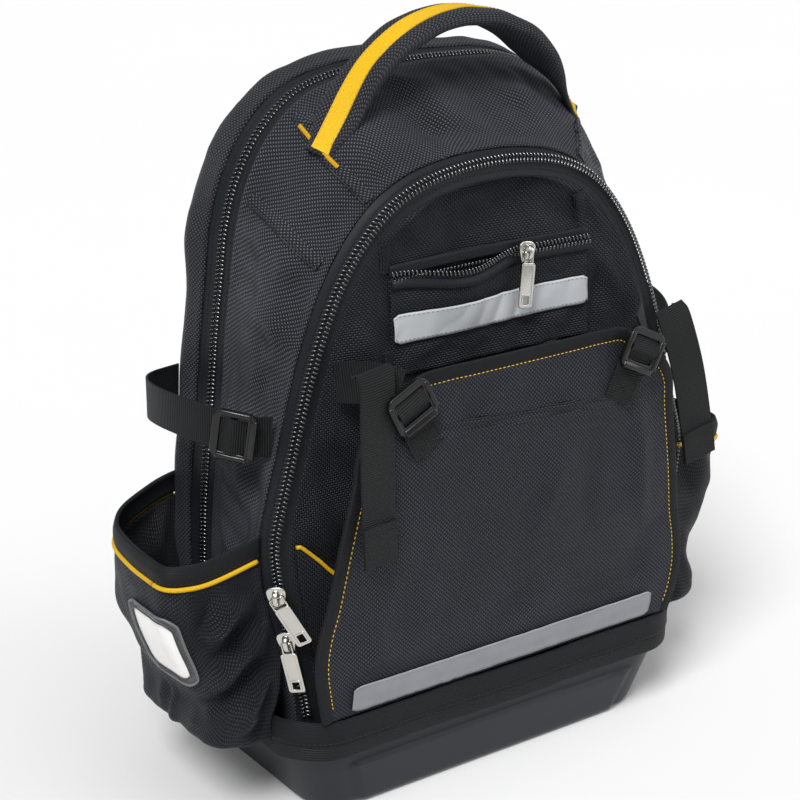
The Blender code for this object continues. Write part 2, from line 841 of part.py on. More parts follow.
def add_side_pocket(side, word):
    levels = [row[0] for row in SIDE_LEVELS]
    rows = [side_pocket_ring(side, level) for level in levels]
    sheet("side_pocket_" + word, rows, CLOTH, "fabric")
    seam = PIPING_RADIUS * 2 + CLOTH / 2 + CLEARANCE
    piping = side_pocket_ring(side, 1.0, CLOTH / 2 + PIPING_RADIUS)
    tube("side_piping_" + word, piping[1:-1], PIPING_RADIUS, "trim")
    rim = [
        side_pocket_ring(side, 1.0, seam + 0.001),
        side_pocket_ring(side, 1.0, seam + SIDE_RIM / 2),
        side_pocket_ring(side, 1.0, seam + SIDE_RIM),
    ]
    sheet("side_rim_" + word, rim, SIDE_RIM_THICK, "webbing")


# A point on the left pocket's outer face: share round it, share of its height, and how far off it
def pocket_point(round_share, level, off):
    line = side_pocket_ring(-1, level, 0.0, off)
    at = round_share * (len(line) - 1)
    return np.array([np.interp(at, np.arange(len(line)), line[:, k]) for k in range(3)])


def add_window():
    middle = [row[0] for row in SIDE_LEVELS if WINDOW_LOW < row[0] < WINDOW_HIGH]
    levels = [WINDOW_LOW, *middle, WINDOW_HIGH]

    def patch(name, border_round, border_up, off, look):
        rows = []
        for level in np.clip(levels, WINDOW_LOW + border_up, WINDOW_HIGH - border_up):
            shares = np.clip(WINDOW_COLUMNS, WINDOW_COLUMNS[0] + border_round, WINDOW_COLUMNS[-1] - border_round)
            rows.append([pocket_point(share, level, off) for share in shares])
        sheet(name, rows, WINDOW_THICK, look)

    first = CLOTH / 2 + WINDOW_THICK / 2 + 5 * CLEARANCE
    patch("window_card", WINDOW_BORDER_ROUND, WINDOW_BORDER_UP, first, "card")
    patch("window_cover", 0.0, 0.0, first + WINDOW_THICK + 2 * CLEARANCE, "vinyl")


def strap_line(side):
    front_y, back_y = -SIDE_FRONT_Y + 0.004, SIDE_BACK_Y
    over = WEBBING_THICK / 2 + CLEARANCE
    front_x = body_side(front_y, SIDE_STRAP_Z - WEBBING / 2) + over
    back_x = body_side(back_y, SIDE_STRAP_Z - WEBBING / 2) + over
    points = []
    for out, back in SIDE_STRAP_PLAN:
        x = front_x + (back_x - front_x) * back + SIDE_STRAP_OUT * out
        lift = 0.008 * np.sin(np.pi * back)
        points.append((side * x, front_y + (back_y - front_y) * back, SIDE_STRAP_Z + lift))
    return spline(points, 15)


def add_side_strap(side, word):
    path = strap_line(side)
    ribbon("side_strap_" + word, path, (0, 0, 1), WEBBING, WEBBING_THICK, "webbing")
    at = path[2]
    along = path[3] - path[1]
    off = WEBBING_THICK / 2 + LOCK_THICK / 2 + 2 * CLEARANCE
    outward = np.cross(along, (0, 0, side))
    add_lock("side_lock_" + word, at, along, outward, off)


# A ladder-lock: a flat frame with two slots, its long axis along the strap
def add_lock(name, at, along, outward, off):
    curve = bpy.data.curves.new(name, "CURVE")
    curve.dimensions = "2D"
    curve.fill_mode = "BOTH"
    curve.extrude = LOCK_THICK / 2
    slot = LOCK_LENGTH * 0.22
    for half_long, half_wide, centre in (
        (LOCK_LENGTH / 2, LOCK_WIDTH / 2, 0),
        (slot / 2, LOCK_WIDTH * 0.36, LOCK_LENGTH * 0.24),
        (slot / 2, LOCK_WIDTH * 0.36, -LOCK_LENGTH * 0.24),
    ):
        line = curve.splines.new("POLY")
        cut = min(half_long, half_wide) * 0.25
        outline = []
        for sx, sy in ((1, -1), (1, 1), (-1, 1), (-1, -1)):
            first = (centre + sx * (half_long - cut), sy * half_wide)
            second = (centre + sx * half_long, sy * (half_wide - cut))
            outline += [second, first] if sx * sy > 0 else [first, second]
        line.points.add(len(outline) - 1)
        for point, (x, y) in zip(line.points, outline):
            point.co = (x, y, 0, 1)
        line.use_cyclic_u = True
    obj = add_object(name, curve, "buckle")
    frame = axes(along, outward)
    place = Vector(at) + frame.col[2] * off
    obj.matrix_world = Matrix.Translation(place) @ frame.to_4x4()
    return obj


# A frame whose X runs along and whose Z points outward
def axes(along, outward):
    x = Vector(along).normalized()
    z = Vector(outward)
    z = (z - x * z.dot(x)).normalized()
    y = z.cross(x)
    return Matrix((x, y, z)).transposed()


def add_flap_straps():
    for side, word, tail in ((-1, "left", LEFT_TAIL), (1, "right", RIGHT_TAIL)):
        off = FLAP_BINDING_THICK / 2 + WEBBING_THICK / 2 + CLEARANCE * 1.5
        low_z, corner_z = FLAP_TOP - STUB_DROP, FLAP_TOP - LOCK_DROP
        low = Vector((side * STUB_X, flap_depth(STUB_X, low_z) - off, low_z))
        corner = Vector((side * LOCK_X, flap_depth(LOCK_X, corner_z) - off - WEBBING_THICK / 2, corner_z))
        along = (corner - low).normalized()
        across = along.cross(Vector((0, -1, 0))).normalized()
        stub = [low - along * 0.004, low + along * 0.010, corner + along * 0.004]
        ribbon("flap_stub_" + word, stub, across, WEBBING * 0.96, WEBBING_THICK, "webbing")
        lock_off = WEBBING_THICK / 2 + LOCK_THICK / 2 + CLEARANCE
        add_lock("flap_lock_" + word, corner, along, (0, -1, 0), lock_off)
        add_flap_strap(side, word, corner, along)
        points = [(side * x, -FRONT_Y - stand, FLAP_TOP - drop) for x, stand, drop in tail]
        turned = (1, -0.08 * side, 0.1)
        ribbon("flap_tail_" + word, spline(points, 8), turned, WEBBING, WEBBING_THICK, "webbing")


# From the seam beside the front zip out to the lock
def add_flap_strap(side, word, corner, along):
    seam_x = half_width_at(FRONT_LINE, STRAP_SEAM_Z) - STRAP_SEAM_INSET
    seam = np.array([side * seam_x, front_face(seam_x, STRAP_SEAM_Z) - 0.003, STRAP_SEAM_Z])
    above = np.array(corner) + np.array(along) * 0.020 + np.array([side * 0.014, -0.001, -0.004])
    path = spline([seam, seam + (above - seam) * 0.45 + np.array([0, -0.002, 0.004]), above], 6)
    across = np.array([(0.10 * side, 0, 1)] * 6)
    across[:, 0] = np.linspace(0.02, -0.35, 6) * -side
    ribbon("flap_strap_" + word, path, across, WEBBING, WEBBING_THICK, "webbing")


# A place on a ring's right half, by how far it is from the middle
def on_ring(values, ring_points, x):
    half = slice(COLUMNS, 2 * COLUMNS + 1)
    return np.array([np.interp(x, ring_points[half, 0], values[half, k]) for k in range(3)])


def handle_points(count):
    middle = GUSSET_RINGS[1]
    foot = on_ring(middle, middle, HANDLE_HALF_SPAN)
    rise = HANDLE_TOP - HANDLE_THICK / 2 - foot[2]
    half = []
    for across, up in HANDLE_LINE:
        x = HANDLE_HALF_SPAN * across
        if across > 1:
            place = on_ring(middle, middle, x)
            facing = on_ring(GUSSET_NORMAL, middle, x)
            half.append(place + facing / np.linalg.norm(facing) * (HANDLE_THICK * HANDLE_FOOT / 2 + 7 * CLEARANCE))
        else:
            half.append(np.array([x, foot[1], foot[2] + rise * up]))
    whole = half + [point * (-1, 1, 1) for point in reversed(half[:-1])]
    return spline(whole, count)


def add_handle():
    count = 25
    path = handle_points(count)
    run = np.gradient(path, axis=0)
    run /= np.linalg.norm(run, axis=1)[:, None]
    away = np.minimum(np.arange(count), count - 1 - np.arange(count))
    lift = smooth(away, 2, 6)[:, None]
    back, _, front = GUSSET_RINGS
    slope = on_ring(back, back, HANDLE_HALF_SPAN * 1.08) - on_ring(front, front, HANDLE_HALF_SPAN * 1.08)
    slope /= np.linalg.norm(slope)
    side = np.where((path[:, 0] < 0)[:, None], slope * (-1, 1, 1), slope) * (1 - lift) + np.array([0, 1.0, 0]) * lift
    side -= run * (side * run).sum(axis=1)[:, None]
    side /= np.linalg.norm(side, axis=1)[:, None]
    up = np.cross(side, run)
    up *= np.where(up[:, 2] < 0, -1, 1)[:, None]
    thick = HANDLE_THICK * (HANDLE_FOOT + (1 - HANDLE_FOOT) * smooth(away, 2, 6))
    outline = [(0.5, 0.20), (0.36, 0.5), (-0.36, 0.5), (-0.5, 0.20), (-0.5, -0.2), (-0.36, -0.5), (0.36, -0.5), (0.5, -0.2)]
    rings = []
    for point, level, normal, tall in zip(path, side, up, thick):
        rings.append([point + level * a * HANDLE_WIDTH + normal * b * tall for a, b in outline])
    loft("handle_grip", rings, "webbing")
    off = thick / 2 + STRIPE_THICK / 2 + 4 * CLEARANCE
    over = path + up * off[:, None]
    ribbon("handle_stripe", over[1:-1], side[1:-1], STRIPE_WIDTH, STRIPE_THICK, "trim")


# A zip slider: a plate on the chain with a bridge for its pull; returns its pin's place
def add_slider(name, at, along, outward, with_pull=True, twist=0.0):
    frame = axes(along, outward)
    place = Vector(at)

    def box(box_name, size, centre, bevel, collection=None):
        mesh = bpy.data.meshes.new(box_name)
        work = bmesh.new()
        bmesh.ops.create_cube(work, size=1.0)
        bmesh.ops.scale(work, vec=size, verts=work.verts)
        bmesh.ops.translate(work, vec=centre, verts=work.verts)
        work.to_mesh(mesh)
        work.free()
        obj = add_object(box_name, mesh, "nickel", collection)
        obj.matrix_world = Matrix.Translation(place) @ frame.to_4x4()
        if bevel:
            edge = obj.modifiers.new("edge", "BEVEL")
            edge.width = bevel
            edge.segments = 1
            edge.limit_method = "ANGLE"
        return obj

    plate = box(name, (SLIDER_LENGTH, SLIDER_WIDTH, SLIDER_THICK), (0, 0, SLIDER_THICK / 2), 0.0006)
    sunk = BRIDGE_BAR
    tall = BRIDGE_HEIGHT + sunk
    bridge = box(name + "_bridge", (BRIDGE_LENGTH, BRIDGE_WIDTH, tall), (0, 0, SLIDER_THICK + tall / 2 - sunk), 0, TOOLS)
    hole_tall = BRIDGE_HEIGHT - BRIDGE_BAR
    hole_long = BRIDGE_LENGTH - 2 * BRIDGE_BAR
    hole = box(
        name + "_hole",
        (hole_long, BRIDGE_WIDTH * 2, hole_tall),
        (0, 0, SLIDER_THICK + hole_tall / 2 + 0.0001),
        0,
        TOOLS,
    )
    for tool, operation in ((bridge, "UNION"), (hole, "DIFFERENCE")):
        tool.hide_render = True
        tool.display_type = "WIRE"
        cut = plate.modifiers.new(operation.lower(), "BOOLEAN")
        cut.operation = operation
        cut.object = tool
    pin = place + frame.col[2] * (SLIDER_THICK + 0.0001 + hole_tall / 2)
    if with_pull:
        add_pull(name.replace("slider", "pull"), pin, frame, twist)
    return pin


# The pull: a ring round the bridge's eye and a flat tab with a slot, hanging along -X of its frame
def add_pull(name, pin, frame, twist):
    obj_frame = frame @ Matrix.Rotation(twist, 3, "Z")
    ring_half = BRIDGE_WIDTH / 2 + 0.0012 + PIN_RADIUS + abs(twist) * 0.0035
    curve = bpy.data.curves.new(name, "CURVE")
    curve.dimensions = "2D"
    curve.fill_mode = "BOTH"
    curve.extrude = PULL_THICK / 2
    half = PULL_WIDTH / 2
    slot_half, slot_long = half * 0.52, PULL_LENGTH * 0.20
    tab, end = -RING_REACH, -RING_REACH - PULL_LENGTH
    outer = [
        (PIN_RADIUS, -ring_half),
        (PIN_RADIUS, ring_half),
        (tab + 0.001, ring_half),
        (tab - 0.001, half),
        (end, half),
        (end, -half),
        (tab - 0.001, -half),
        (tab + 0.001, -ring_half),
    ]
    wire = PIN_RADIUS * 2
    eye = [
        (-PIN_RADIUS, -ring_half + wire),
        (-PIN_RADIUS, ring_half - wire),
        (tab, ring_half - wire),
        (tab, -ring_half + wire),
    ]
    slot = [
        (end + slot_long + 0.002, -slot_half),
        (end + slot_long + 0.002, slot_half),
        (end + 0.002, slot_half),
        (end + 0.002, -slot_half),
    ]
    for outline in (outer, eye, slot):
        line = curve.splines.new("POLY")
        line.points.add(len(outline) - 1)
        for point, (x, y) in zip(line.points, outline):
            point.co = (x, y, 0, 1)
        line.use_cyclic_u = True
    obj = add_object(name, curve, "nickel")
    obj.matrix_world = Matrix.Translation(pin) @ obj_frame.to_4x4()
    return obj


def add_sliders(stack, normal, marks):
    chain = marks["front_zip"] + 2
    line, out = stack[chain], normal[chain]

    def on_chain(ring_line, ring_out, z):
        half = ring_line[: COLUMNS + 1]
        place = np.array([np.interp(z, half[:, 2], half[:, k]) for k in range(3)])
        facing = np.array([np.interp(z, half[:, 2], ring_out[: COLUMNS + 1, k]) for k in range(3)])
        ahead = np.array([np.interp(z + 0.01, half[:, 2], half[:, k]) for k in range(3)])
        return place, ahead - place, facing / np.linalg.norm(facing)

    for name, z, twist in (("front_slider_upper", UPPER_SLIDER_Z, UPPER_PULL_TWIST), ("front_slider_lower", LOWER_SLIDER_Z, 0.0)):
        place, along, facing = on_chain(line, out, z)
        add_slider(name, place + facing * CLEARANCE, along, facing, True, twist)
    rear_chain = marks["rear_zip"] + 2
    place, along, facing = on_chain(stack[rear_chain], normal[rear_chain], REAR_TOP * REAR_SLIDER_SHARE)
    add_slider("rear_slider", place + facing * CLEARANCE, along, facing, False)
    x = POCKET_OPEN_TO - CLOTH
    z = POCKET_MOUTH + CLEARANCE
    y = pocket_face(x, z) - CLOTH / 2 - POCKET_TAPE_THICK - 4.5 * CLEARANCE
    add_slider("pocket_slider", (x, y, z), (0.16, 0, 1), (0, -1, 0.1))


def add_back():
    mesh = bpy.data.meshes.new("back_pad")
    work = bmesh.new()
    bmesh.ops.create_cube(work, size=1.0)
    size = (2 * PAD_HALF_WIDTH, PAD_THICK, PAD_TOP - PAD_LOW)
    bmesh.ops.scale(work, vec=size, verts=work.verts)
    work.to_mesh(mesh)
    work.free()
    pad = add_object("back_pad", mesh, "padding")
    pad.location = (0, BACK_Y + PAD_THICK / 2 + CLEARANCE, (PAD_LOW + PAD_TOP) / 2)
    edge = pad.modifiers.new("edge", "BEVEL")
    edge.width = PAD_THICK * 0.45
    edge.segments = 3
    face = BACK_Y + PAD_THICK + CLEARANCE
    for side, word in ((-1, "left"), (1, "right")):
        top = np.array([side * SHOULDER_X * 0.9, BACK_Y + SHOULDER_THICK / 2 + 2 * CLEARANCE, REAR_TOP * 0.905])
        points = [top, top + (0, 0.004, -0.018)]
        for x, bow, z in SHOULDER_LINE:
            points.append((side * SHOULDER_X * x, face + SHOULDER_BOW * bow, REAR_TOP * z))
        path = spline(points, 16)
        grid = []
        for share in (-0.5, 0.5):
            grid.append(path + np.array([share * SHOULDER_WIDTH, 0, 0]))
        sheet("shoulder_strap_" + word, np.stack(grid, 1), SHOULDER_THICK, "padding")
        end = path[-1]
        down = (path[-1] - path[-2]) / np.linalg.norm(path[-1] - path[-2])
        start = end + down * 0.0070
        anchor = np.array([side * ANCHOR_X, BACK_Y + WEBBING_THICK / 2 + CLEARANCE, BINDING_TOP + 0.016])
        line = spline([start, (start + anchor) / 2 + np.array([0, 0.006, 0]), anchor], 8)
        across = np.array([1.0, 0, side * 0.55])
        ribbon("shoulder_webbing_" + word, line, across, WEBBING, WEBBING_THICK, "webbing")
        along = line[4] - line[2]
        off = (WEBBING_THICK + LOCK_THICK) / 2 + CLEARANCE
        add_lock("shoulder_lock_" + word, line[3], along, np.cross(across, along), off)


PARTS = None
TOOLS = None
FLAP_LOW = BINDING_TOP + CLEARANCE * 2
SKIN_LOW = BASE_HEIGHT + CLEARANCE
clear_scene()
PARTS = new_collection("tool_backpack")
TOOLS = new_collection("cutters")
FRONT_LINE = arch_line(FRONT_ARCH, SKIN_LOW, FRONT_TOP, FRONT_HALF_WIDTH)
REAR_LINE = arch_line(REAR_ARCH, SKIN_LOW, REAR_TOP, REAR_HALF_WIDTH)
FLAP_LINE = arch_line(FLAP_OUTLINE, FLAP_LOW, FLAP_TOP, FLAP_HALF_WIDTH)

add_base()
add_base_binding()
BODY, BODY_NORMAL, BODY_MARKS = add_body()
GUSSET_RINGS = BODY[BODY_MARKS["gusset"] + 1 : BODY_MARKS["gusset"] + 4]
GUSSET_NORMAL = BODY_NORMAL[BODY_MARKS["gusset"] + 2]
add_flap()
add_upper_pocket()
add_inner_pocket()
for pocket_side, pocket_word in ((-1, "left"), (1, "right")):
    add_side_pocket(pocket_side, pocket_word)
    add_side_strap(pocket_side, pocket_word)
add_window()
add_flap_straps()
add_handle()
add_sliders(BODY, BODY_NORMAL, BODY_MARKS)
add_back()
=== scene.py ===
import json

import bpy
import numpy as np
from mathutils import Matrix, Vector
from mathutils.bvhtree import BVHTree


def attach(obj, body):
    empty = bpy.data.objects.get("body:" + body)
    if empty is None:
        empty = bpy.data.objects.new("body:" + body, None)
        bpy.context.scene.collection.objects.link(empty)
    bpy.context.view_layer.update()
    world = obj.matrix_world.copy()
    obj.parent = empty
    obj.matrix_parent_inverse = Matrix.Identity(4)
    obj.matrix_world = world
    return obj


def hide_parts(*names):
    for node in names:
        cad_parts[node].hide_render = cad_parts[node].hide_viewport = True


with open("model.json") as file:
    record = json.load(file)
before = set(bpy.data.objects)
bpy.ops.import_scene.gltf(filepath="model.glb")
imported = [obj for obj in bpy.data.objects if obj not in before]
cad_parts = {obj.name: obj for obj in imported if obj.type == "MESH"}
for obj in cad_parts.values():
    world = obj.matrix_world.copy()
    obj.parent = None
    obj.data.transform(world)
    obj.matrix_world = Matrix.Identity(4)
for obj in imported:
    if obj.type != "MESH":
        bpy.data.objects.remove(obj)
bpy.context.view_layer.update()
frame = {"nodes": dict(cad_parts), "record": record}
rideOn = "pack"
forward = np.array([0.0, -1.0, 0.0])
print("frame loaded:", len(frame["nodes"]), "solids")

# the camera, fitted to the photograph; angles in degrees, focal length and picture width in pixels
cameraSet = {"turn": -35.337, "rise": 20.344, "roll": 0.134, "distance": 1.4406, "target": (-0.0130, 0.0, 0.2396),
             "focal": 2080.5, "picture": 800}


def makeCamera():
    turn, rise, roll = np.radians([cameraSet[word] for word in ("turn", "rise", "roll")])
    back = np.array([np.sin(turn) * np.cos(rise), -np.cos(turn) * np.cos(rise), np.sin(rise)])
    level = np.array([np.cos(turn), np.sin(turn), 0.0])
    upright = np.cross(back, level)
    right = level * np.cos(roll) + upright * np.sin(roll)
    up = upright * np.cos(roll) - level * np.sin(roll)
    place = np.array(cameraSet["target"]) + back * cameraSet["distance"]
    bpy.ops.object.camera_add()
    cam = bpy.context.object
    cam.name = "studioCamera"
    cam.data.sensor_width = 36
    cam.data.lens = 36 * cameraSet["focal"] / cameraSet["picture"]
    cam.data.clip_end = 50
    cam.matrix_world = Matrix(np.column_stack([right, up, back, place]).tolist() + [[0, 0, 0, 1]])
    bpy.context.scene.camera = cam
    return place, right, up, back


eye, eyeRight, eyeUp, eyeBack = makeCamera()


# the ray through a pixel of the photograph, and where it meets a surface
def rayThrough(px, py):
    half, focal = cameraSet["picture"] / 2, cameraSet["focal"]
    way = (px - half) / focal * eyeRight + (half - py) / focal * eyeUp - eyeBack
    return Vector(way).normalized()


def pixelOn(tree, px, py):
    place, normal, _, _ = tree.ray_cast(Vector(eye), rayThrough(px, py))
    return (np.array(place), np.array(normal)) if place else (None, None)


# ---- small tools for meshes


def deselect():
    for obj in bpy.context.selected_objects:
        obj.select_set(False)


def pick(obj):
    deselect()
    obj.select_set(True)
    bpy.context.view_layer.objects.active = obj


def applyAll(obj):
    pick(obj)
    for modifier in list(obj.modifiers):
        bpy.ops.object.modifier_apply(modifier=modifier.name)


def settle(obj, look, nodes=(), body=rideOn, angle=None):
    obj.data.materials.clear()
    obj.data.materials.append(look)
    pick(obj)
    if angle is None:
        bpy.ops.object.shade_smooth()
    else:
        bpy.ops.object.shade_smooth_by_angle(angle=np.radians(angle))
    if nodes:
        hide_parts(*nodes)
    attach(obj, body)
    return obj


def ease(value, start, end):
    share = np.clip((np.asarray(value, float) - start) / (end - start), 0, 1)
    return share * share * (3 - 2 * share)


def lookUp(table, at):
    rows = np.array(table, float)
    return np.interp(at, rows[:, 0], rows[:, 1])


def runLength(points):
    return np.concatenate([[0], np.cumsum(np.linalg.norm(np.diff(points, axis=0), axis=1))])


# rows of a table that runs along a line, read at some distances along it
def readAt(at, run, rows):
    return np.stack([np.interp(at, run, rows[:, k]) for k in range(rows.shape[1])], 1)


def evenly(points, count):
    run = runLength(points)
    return readAt(np.linspace(0, run[-1], count), run, points)


# smooth curve through every row of points, each gap cut into so many steps
def refine(points, times, axis=0):
    points = np.moveaxis(np.asarray(points, float), axis, 0)
    ends = np.concatenate([2 * points[:1] - points[1:2], points, 2 * points[-1:] - points[-2:-1]])
    found = []
    for i in range(len(points) - 1):
        before, start, end, after = ends[i : i + 4]
        for t in np.arange(times) / times:
            bend = (2 * before - 5 * start + 4 * end - after) * t**2
            found.append(0.5 * (2 * start + (end - before) * t + bend + (3 * start - before - 3 * end + after) * t**3))
    found.append(points[-1])
    return np.moveaxis(np.array(found), 0, axis)


def curveThrough(points, count):
    return evenly(refine(points, 12), count)


def unit(vectors):
    return vectors / np.maximum(np.linalg.norm(vectors, axis=-1), 1e-9)[..., None]


def gridNormals(grid):
    return unit(np.cross(np.gradient(grid, axis=1), np.gradient(grid, axis=0)))


def treeOf(grid):
    rows, columns = grid.shape[:2]
    faces = [
        (r * columns + c, r * columns + c + 1, (r + 1) * columns + c + 1, (r + 1) * columns + c)
        for r in range(rows - 1)
        for c in range(columns - 1)
    ]
    return BVHTree.FromPolygons(grid.reshape(-1, 3).tolist(), faces)


def pointsOf(obj):
    points = np.empty(len(obj.data.vertices) * 3, np.float32)
    obj.data.vertices.foreach_get("co", points)
    return points.reshape(-1, 3)


# a grid primitive drawn to a table of places, its map in metres along the cloth
def gridPiece(name, grid, flat=None):
    rows, columns = grid.shape[:2]
    deselect()
    bpy.ops.mesh.primitive_grid_add(x_subdivisions=columns - 1, y_subdivisions=rows - 1, size=1)
    obj = bpy.context.object
    obj.name = name
    mesh = obj.data
    mesh.vertices.foreach_set("co", grid.astype(np.float32).ravel())
    if flat is None:
        across = np.broadcast_to(runLength(grid[rows // 2]), (rows, columns))
        along = np.zeros((rows, columns))
        along[1:] = np.cumsum(np.linalg.norm(np.diff(grid, axis=0), axis=2), axis=0)
        flat = np.stack([across, along], 2)
    corner = np.empty(len(mesh.loops), np.int32)
    mesh.loops.foreach_get("vertex_index", corner)
    mesh.uv_layers[0].data.foreach_set("uv", flat.reshape(-1, 2)[corner].astype(np.float32).ravel())
    mesh.update()
    return obj


def weld(obj, within=1e-6):
    pick(obj)
    bpy.ops.object.mode_set(mode="EDIT")
    bpy.ops.mesh.select_all(action="SELECT")
    bpy.ops.mesh.remove_doubles(threshold=within)
    bpy.ops.object.mode_set(mode="OBJECT")


def capEnds(obj):
    pick(obj)
    bpy.ops.object.mode_set(mode="EDIT")
    bpy.ops.mesh.select_all(action="DESELECT")
    bpy.ops.mesh.select_non_manifold(extend=False)
    bpy.ops.mesh.edge_face_add()
    bpy.ops.object.mode_set(mode="OBJECT")


def outward(obj):
    pick(obj)
    bpy.ops.object.mode_set(mode="EDIT")
    bpy.ops.mesh.select_all(action="SELECT")
    bpy.ops.mesh.normals_make_consistent(inside=False)
    bpy.ops.object.mode_set(mode="OBJECT")


def thicken(obj, thick):
    wall = obj.modifiers.new("wall", "SOLIDIFY")
    wall.thickness = thick
    wall.offset = -1
    applyAll(obj)


# cloth: an open grid given a wall on its inner side
def clothPiece(name, grid, thick, look, nodes=(), flat=None):
    obj = gridPiece(name, grid, flat)
    weld(obj, 2e-5)
    thicken(obj, thick)
    return settle(obj, look, nodes)


# a tube drawn along a path; outline is one turn of (across, out) places, or one such turn for each row
def tubePiece(name, path, side, up, outline, look, nodes=(), body=rideOn, loop=False, angle=None):
    outline = np.array(outline, float)
    outline = np.concatenate([outline, outline[:1]])
    if outline.ndim == 2:
        outline = np.broadcast_to(outline, (len(path),) + outline.shape)
    grid = path[:, None] + side[:, None] * outline[..., 0:1] + up[:, None] * outline[..., 1:2]
    if loop:
        grid = np.concatenate([grid, grid[:1]])
    obj = gridPiece(name, grid)
    weld(obj)
    if not loop:
        capEnds(obj)
    outward(obj)
    return settle(obj, look, nodes, body, angle)


def roundSection(width, thick, count=16, power=2.6):
    turn = np.linspace(0, 2 * np.pi, count, endpoint=False)
    x, y = np.cos(turn), np.sin(turn)
    return np.stack([np.sign(x) * np.abs(x) ** (2 / power) * width / 2,
                     np.sign(y) * np.abs(y) ** (2 / power) * thick / 2], 1)


def flatSection(width, thick):
    half, rise = width / 2, thick / 2
    steps = np.linspace(-1, 1, 7)
    top = [(half * s * 0.97, rise) for s in steps]
    low = [(-half * s * 0.97, -rise) for s in steps]
    return [*top, (half, 0), *low, (-half, 0)]


def framesAlong(path, side):
    run = unit(np.gradient(path, axis=0))
    side = np.broadcast_to(np.asarray(side, float), path.shape)
    side = unit(side - run * (side * run).sum(axis=1)[:, None])
    return side, unit(np.cross(run, side))


def webbing(name, path, side, width, thick, look, slot, nodes=(), steps=4):
    path = refine(path, steps)
    side = np.broadcast_to(np.asarray(side, float), (len(side) if np.ndim(side) > 1 else len(path), 3))
    if len(side) != len(path):
        side = refine(side, steps)
    across, up = framesAlong(path, side)
    return tubePiece(name, path, across, up, flatSection(width, thick), look, nodes, angle=50)


# many copies of one small shape, each with its own points, joined into one mesh
def scatter(name, shape, frames, look, nodes=(), body=rideOn):
    points = pointsOf(shape)
    faces = [tuple(face.vertices) for face in shape.data.polygons]
    frames = np.asarray(frames, float)
    whole = np.einsum("nij,kj->nki", frames[:, :3, :3], points) + frames[:, None, :3, 3]
    count = len(points)
    joined = [tuple(v + i * count for v in face) for i in range(len(frames)) for face in faces]
    mesh = bpy.data.meshes.new(name)
    mesh.from_pydata(whole.reshape(-1, 3).tolist(), [], joined)
    obj = bpy.data.objects.new(name, mesh)
    bpy.context.scene.collection.objects.link(obj)
    bpy.data.objects.remove(shape, do_unlink=True)
    return settle(obj, look, nodes, body)


def bead(size, segments=8, rings=6):
    deselect()
    bpy.ops.mesh.primitive_uv_sphere_add(segments=segments, ring_count=rings, radius=0.5)
    obj = bpy.context.object
    bpy.ops.object.mode_set(mode="EDIT")
    bpy.ops.mesh.select_all(action="SELECT")
    bpy.ops.transform.resize(value=size)
    bpy.ops.object.mode_set(mode="OBJECT")
    return obj


def axesAt(place, along, out):
    out = unit(out)
    along = unit(along - out * (along * out).sum(axis=-1)[..., None])
    side = np.cross(out, along)
    frames = np.zeros(place.shape[:-1] + (4, 4))
    frames[..., :3, 0], frames[..., :3, 1], frames[..., :3, 2] = along, side, out
    frames[..., :3, 3] = place
    frames[..., 3, 3] = 1
    return frames


# each kind of stitch: its pitch, length and width
stitchSet = {
    "zip": (0.0030, 0.0022, 0.0006), "trim": (0.0034, 0.0024, 0.0006), "hem": (0.0026, 0.0019, 0.0006),
    "flap": (0.0034, 0.0024, 0.0008), "band": (0.0036, 0.0027, 0.0007), "rim": (0.0034, 0.0025, 0.0007),
    "strap": (0.0036, 0.0026, 0.0008), "seam": (0.0032, 0.0024, 0.0006),
}


# a row of stitches along a line that lies on a surface
def stitchRow(name, path, out, look, kind, rise=0.0):
    pitch, length, width = stitchSet[kind]
    run = runLength(path)
    at = np.arange(pitch / 2, run[-1], pitch)
    facing = unit(readAt(at, run, out))
    frames = axesAt(readAt(at, run, path) + facing * rise, readAt(at, run, np.gradient(path, axis=0)), facing)
    return scatter(name, bead((length, width, width * 0.8), 6, 4), frames, look)


# ---- finishes


def wire(tree, value, socket):
    if isinstance(value, bpy.types.NodeSocket):
        tree.links.new(value, socket)
    else:
        socket.default_value = value


def sums(tree, operation, *values, clamp=False):
    node = tree.nodes.new("ShaderNodeMath")
    node.operation = operation
    node.use_clamp = clamp
    for socket, value in zip(node.inputs, values):
        wire(tree, value, socket)
    return node.outputs[0]


def newGroup(name, numbers, outputs):
    group = bpy.data.node_groups.new(name, "ShaderNodeTree")
    group.interface.new_socket("Place", in_out="INPUT", socket_type="NodeSocketVector")
    for word, value in numbers.items():
        group.interface.new_socket(word, in_out="INPUT", socket_type="NodeSocketFloat").default_value = value
    for word in outputs:
        group.interface.new_socket(word, in_out="OUTPUT", socket_type="NodeSocketFloat")
    return group, group.nodes.new("NodeGroupInput").outputs, group.nodes.new("NodeGroupOutput").inputs


def noiseOf(tree, place, scale, detail=2.0, roughness=0.5):
    node = tree.nodes.new("ShaderNodeTexNoise")
    node.inputs["Detail"].default_value = detail
    node.inputs["Roughness"].default_value = roughness
    wire(tree, scale, node.inputs["Scale"])
    tree.links.new(place, node.inputs["Vector"])
    return node.outputs["Fac"]


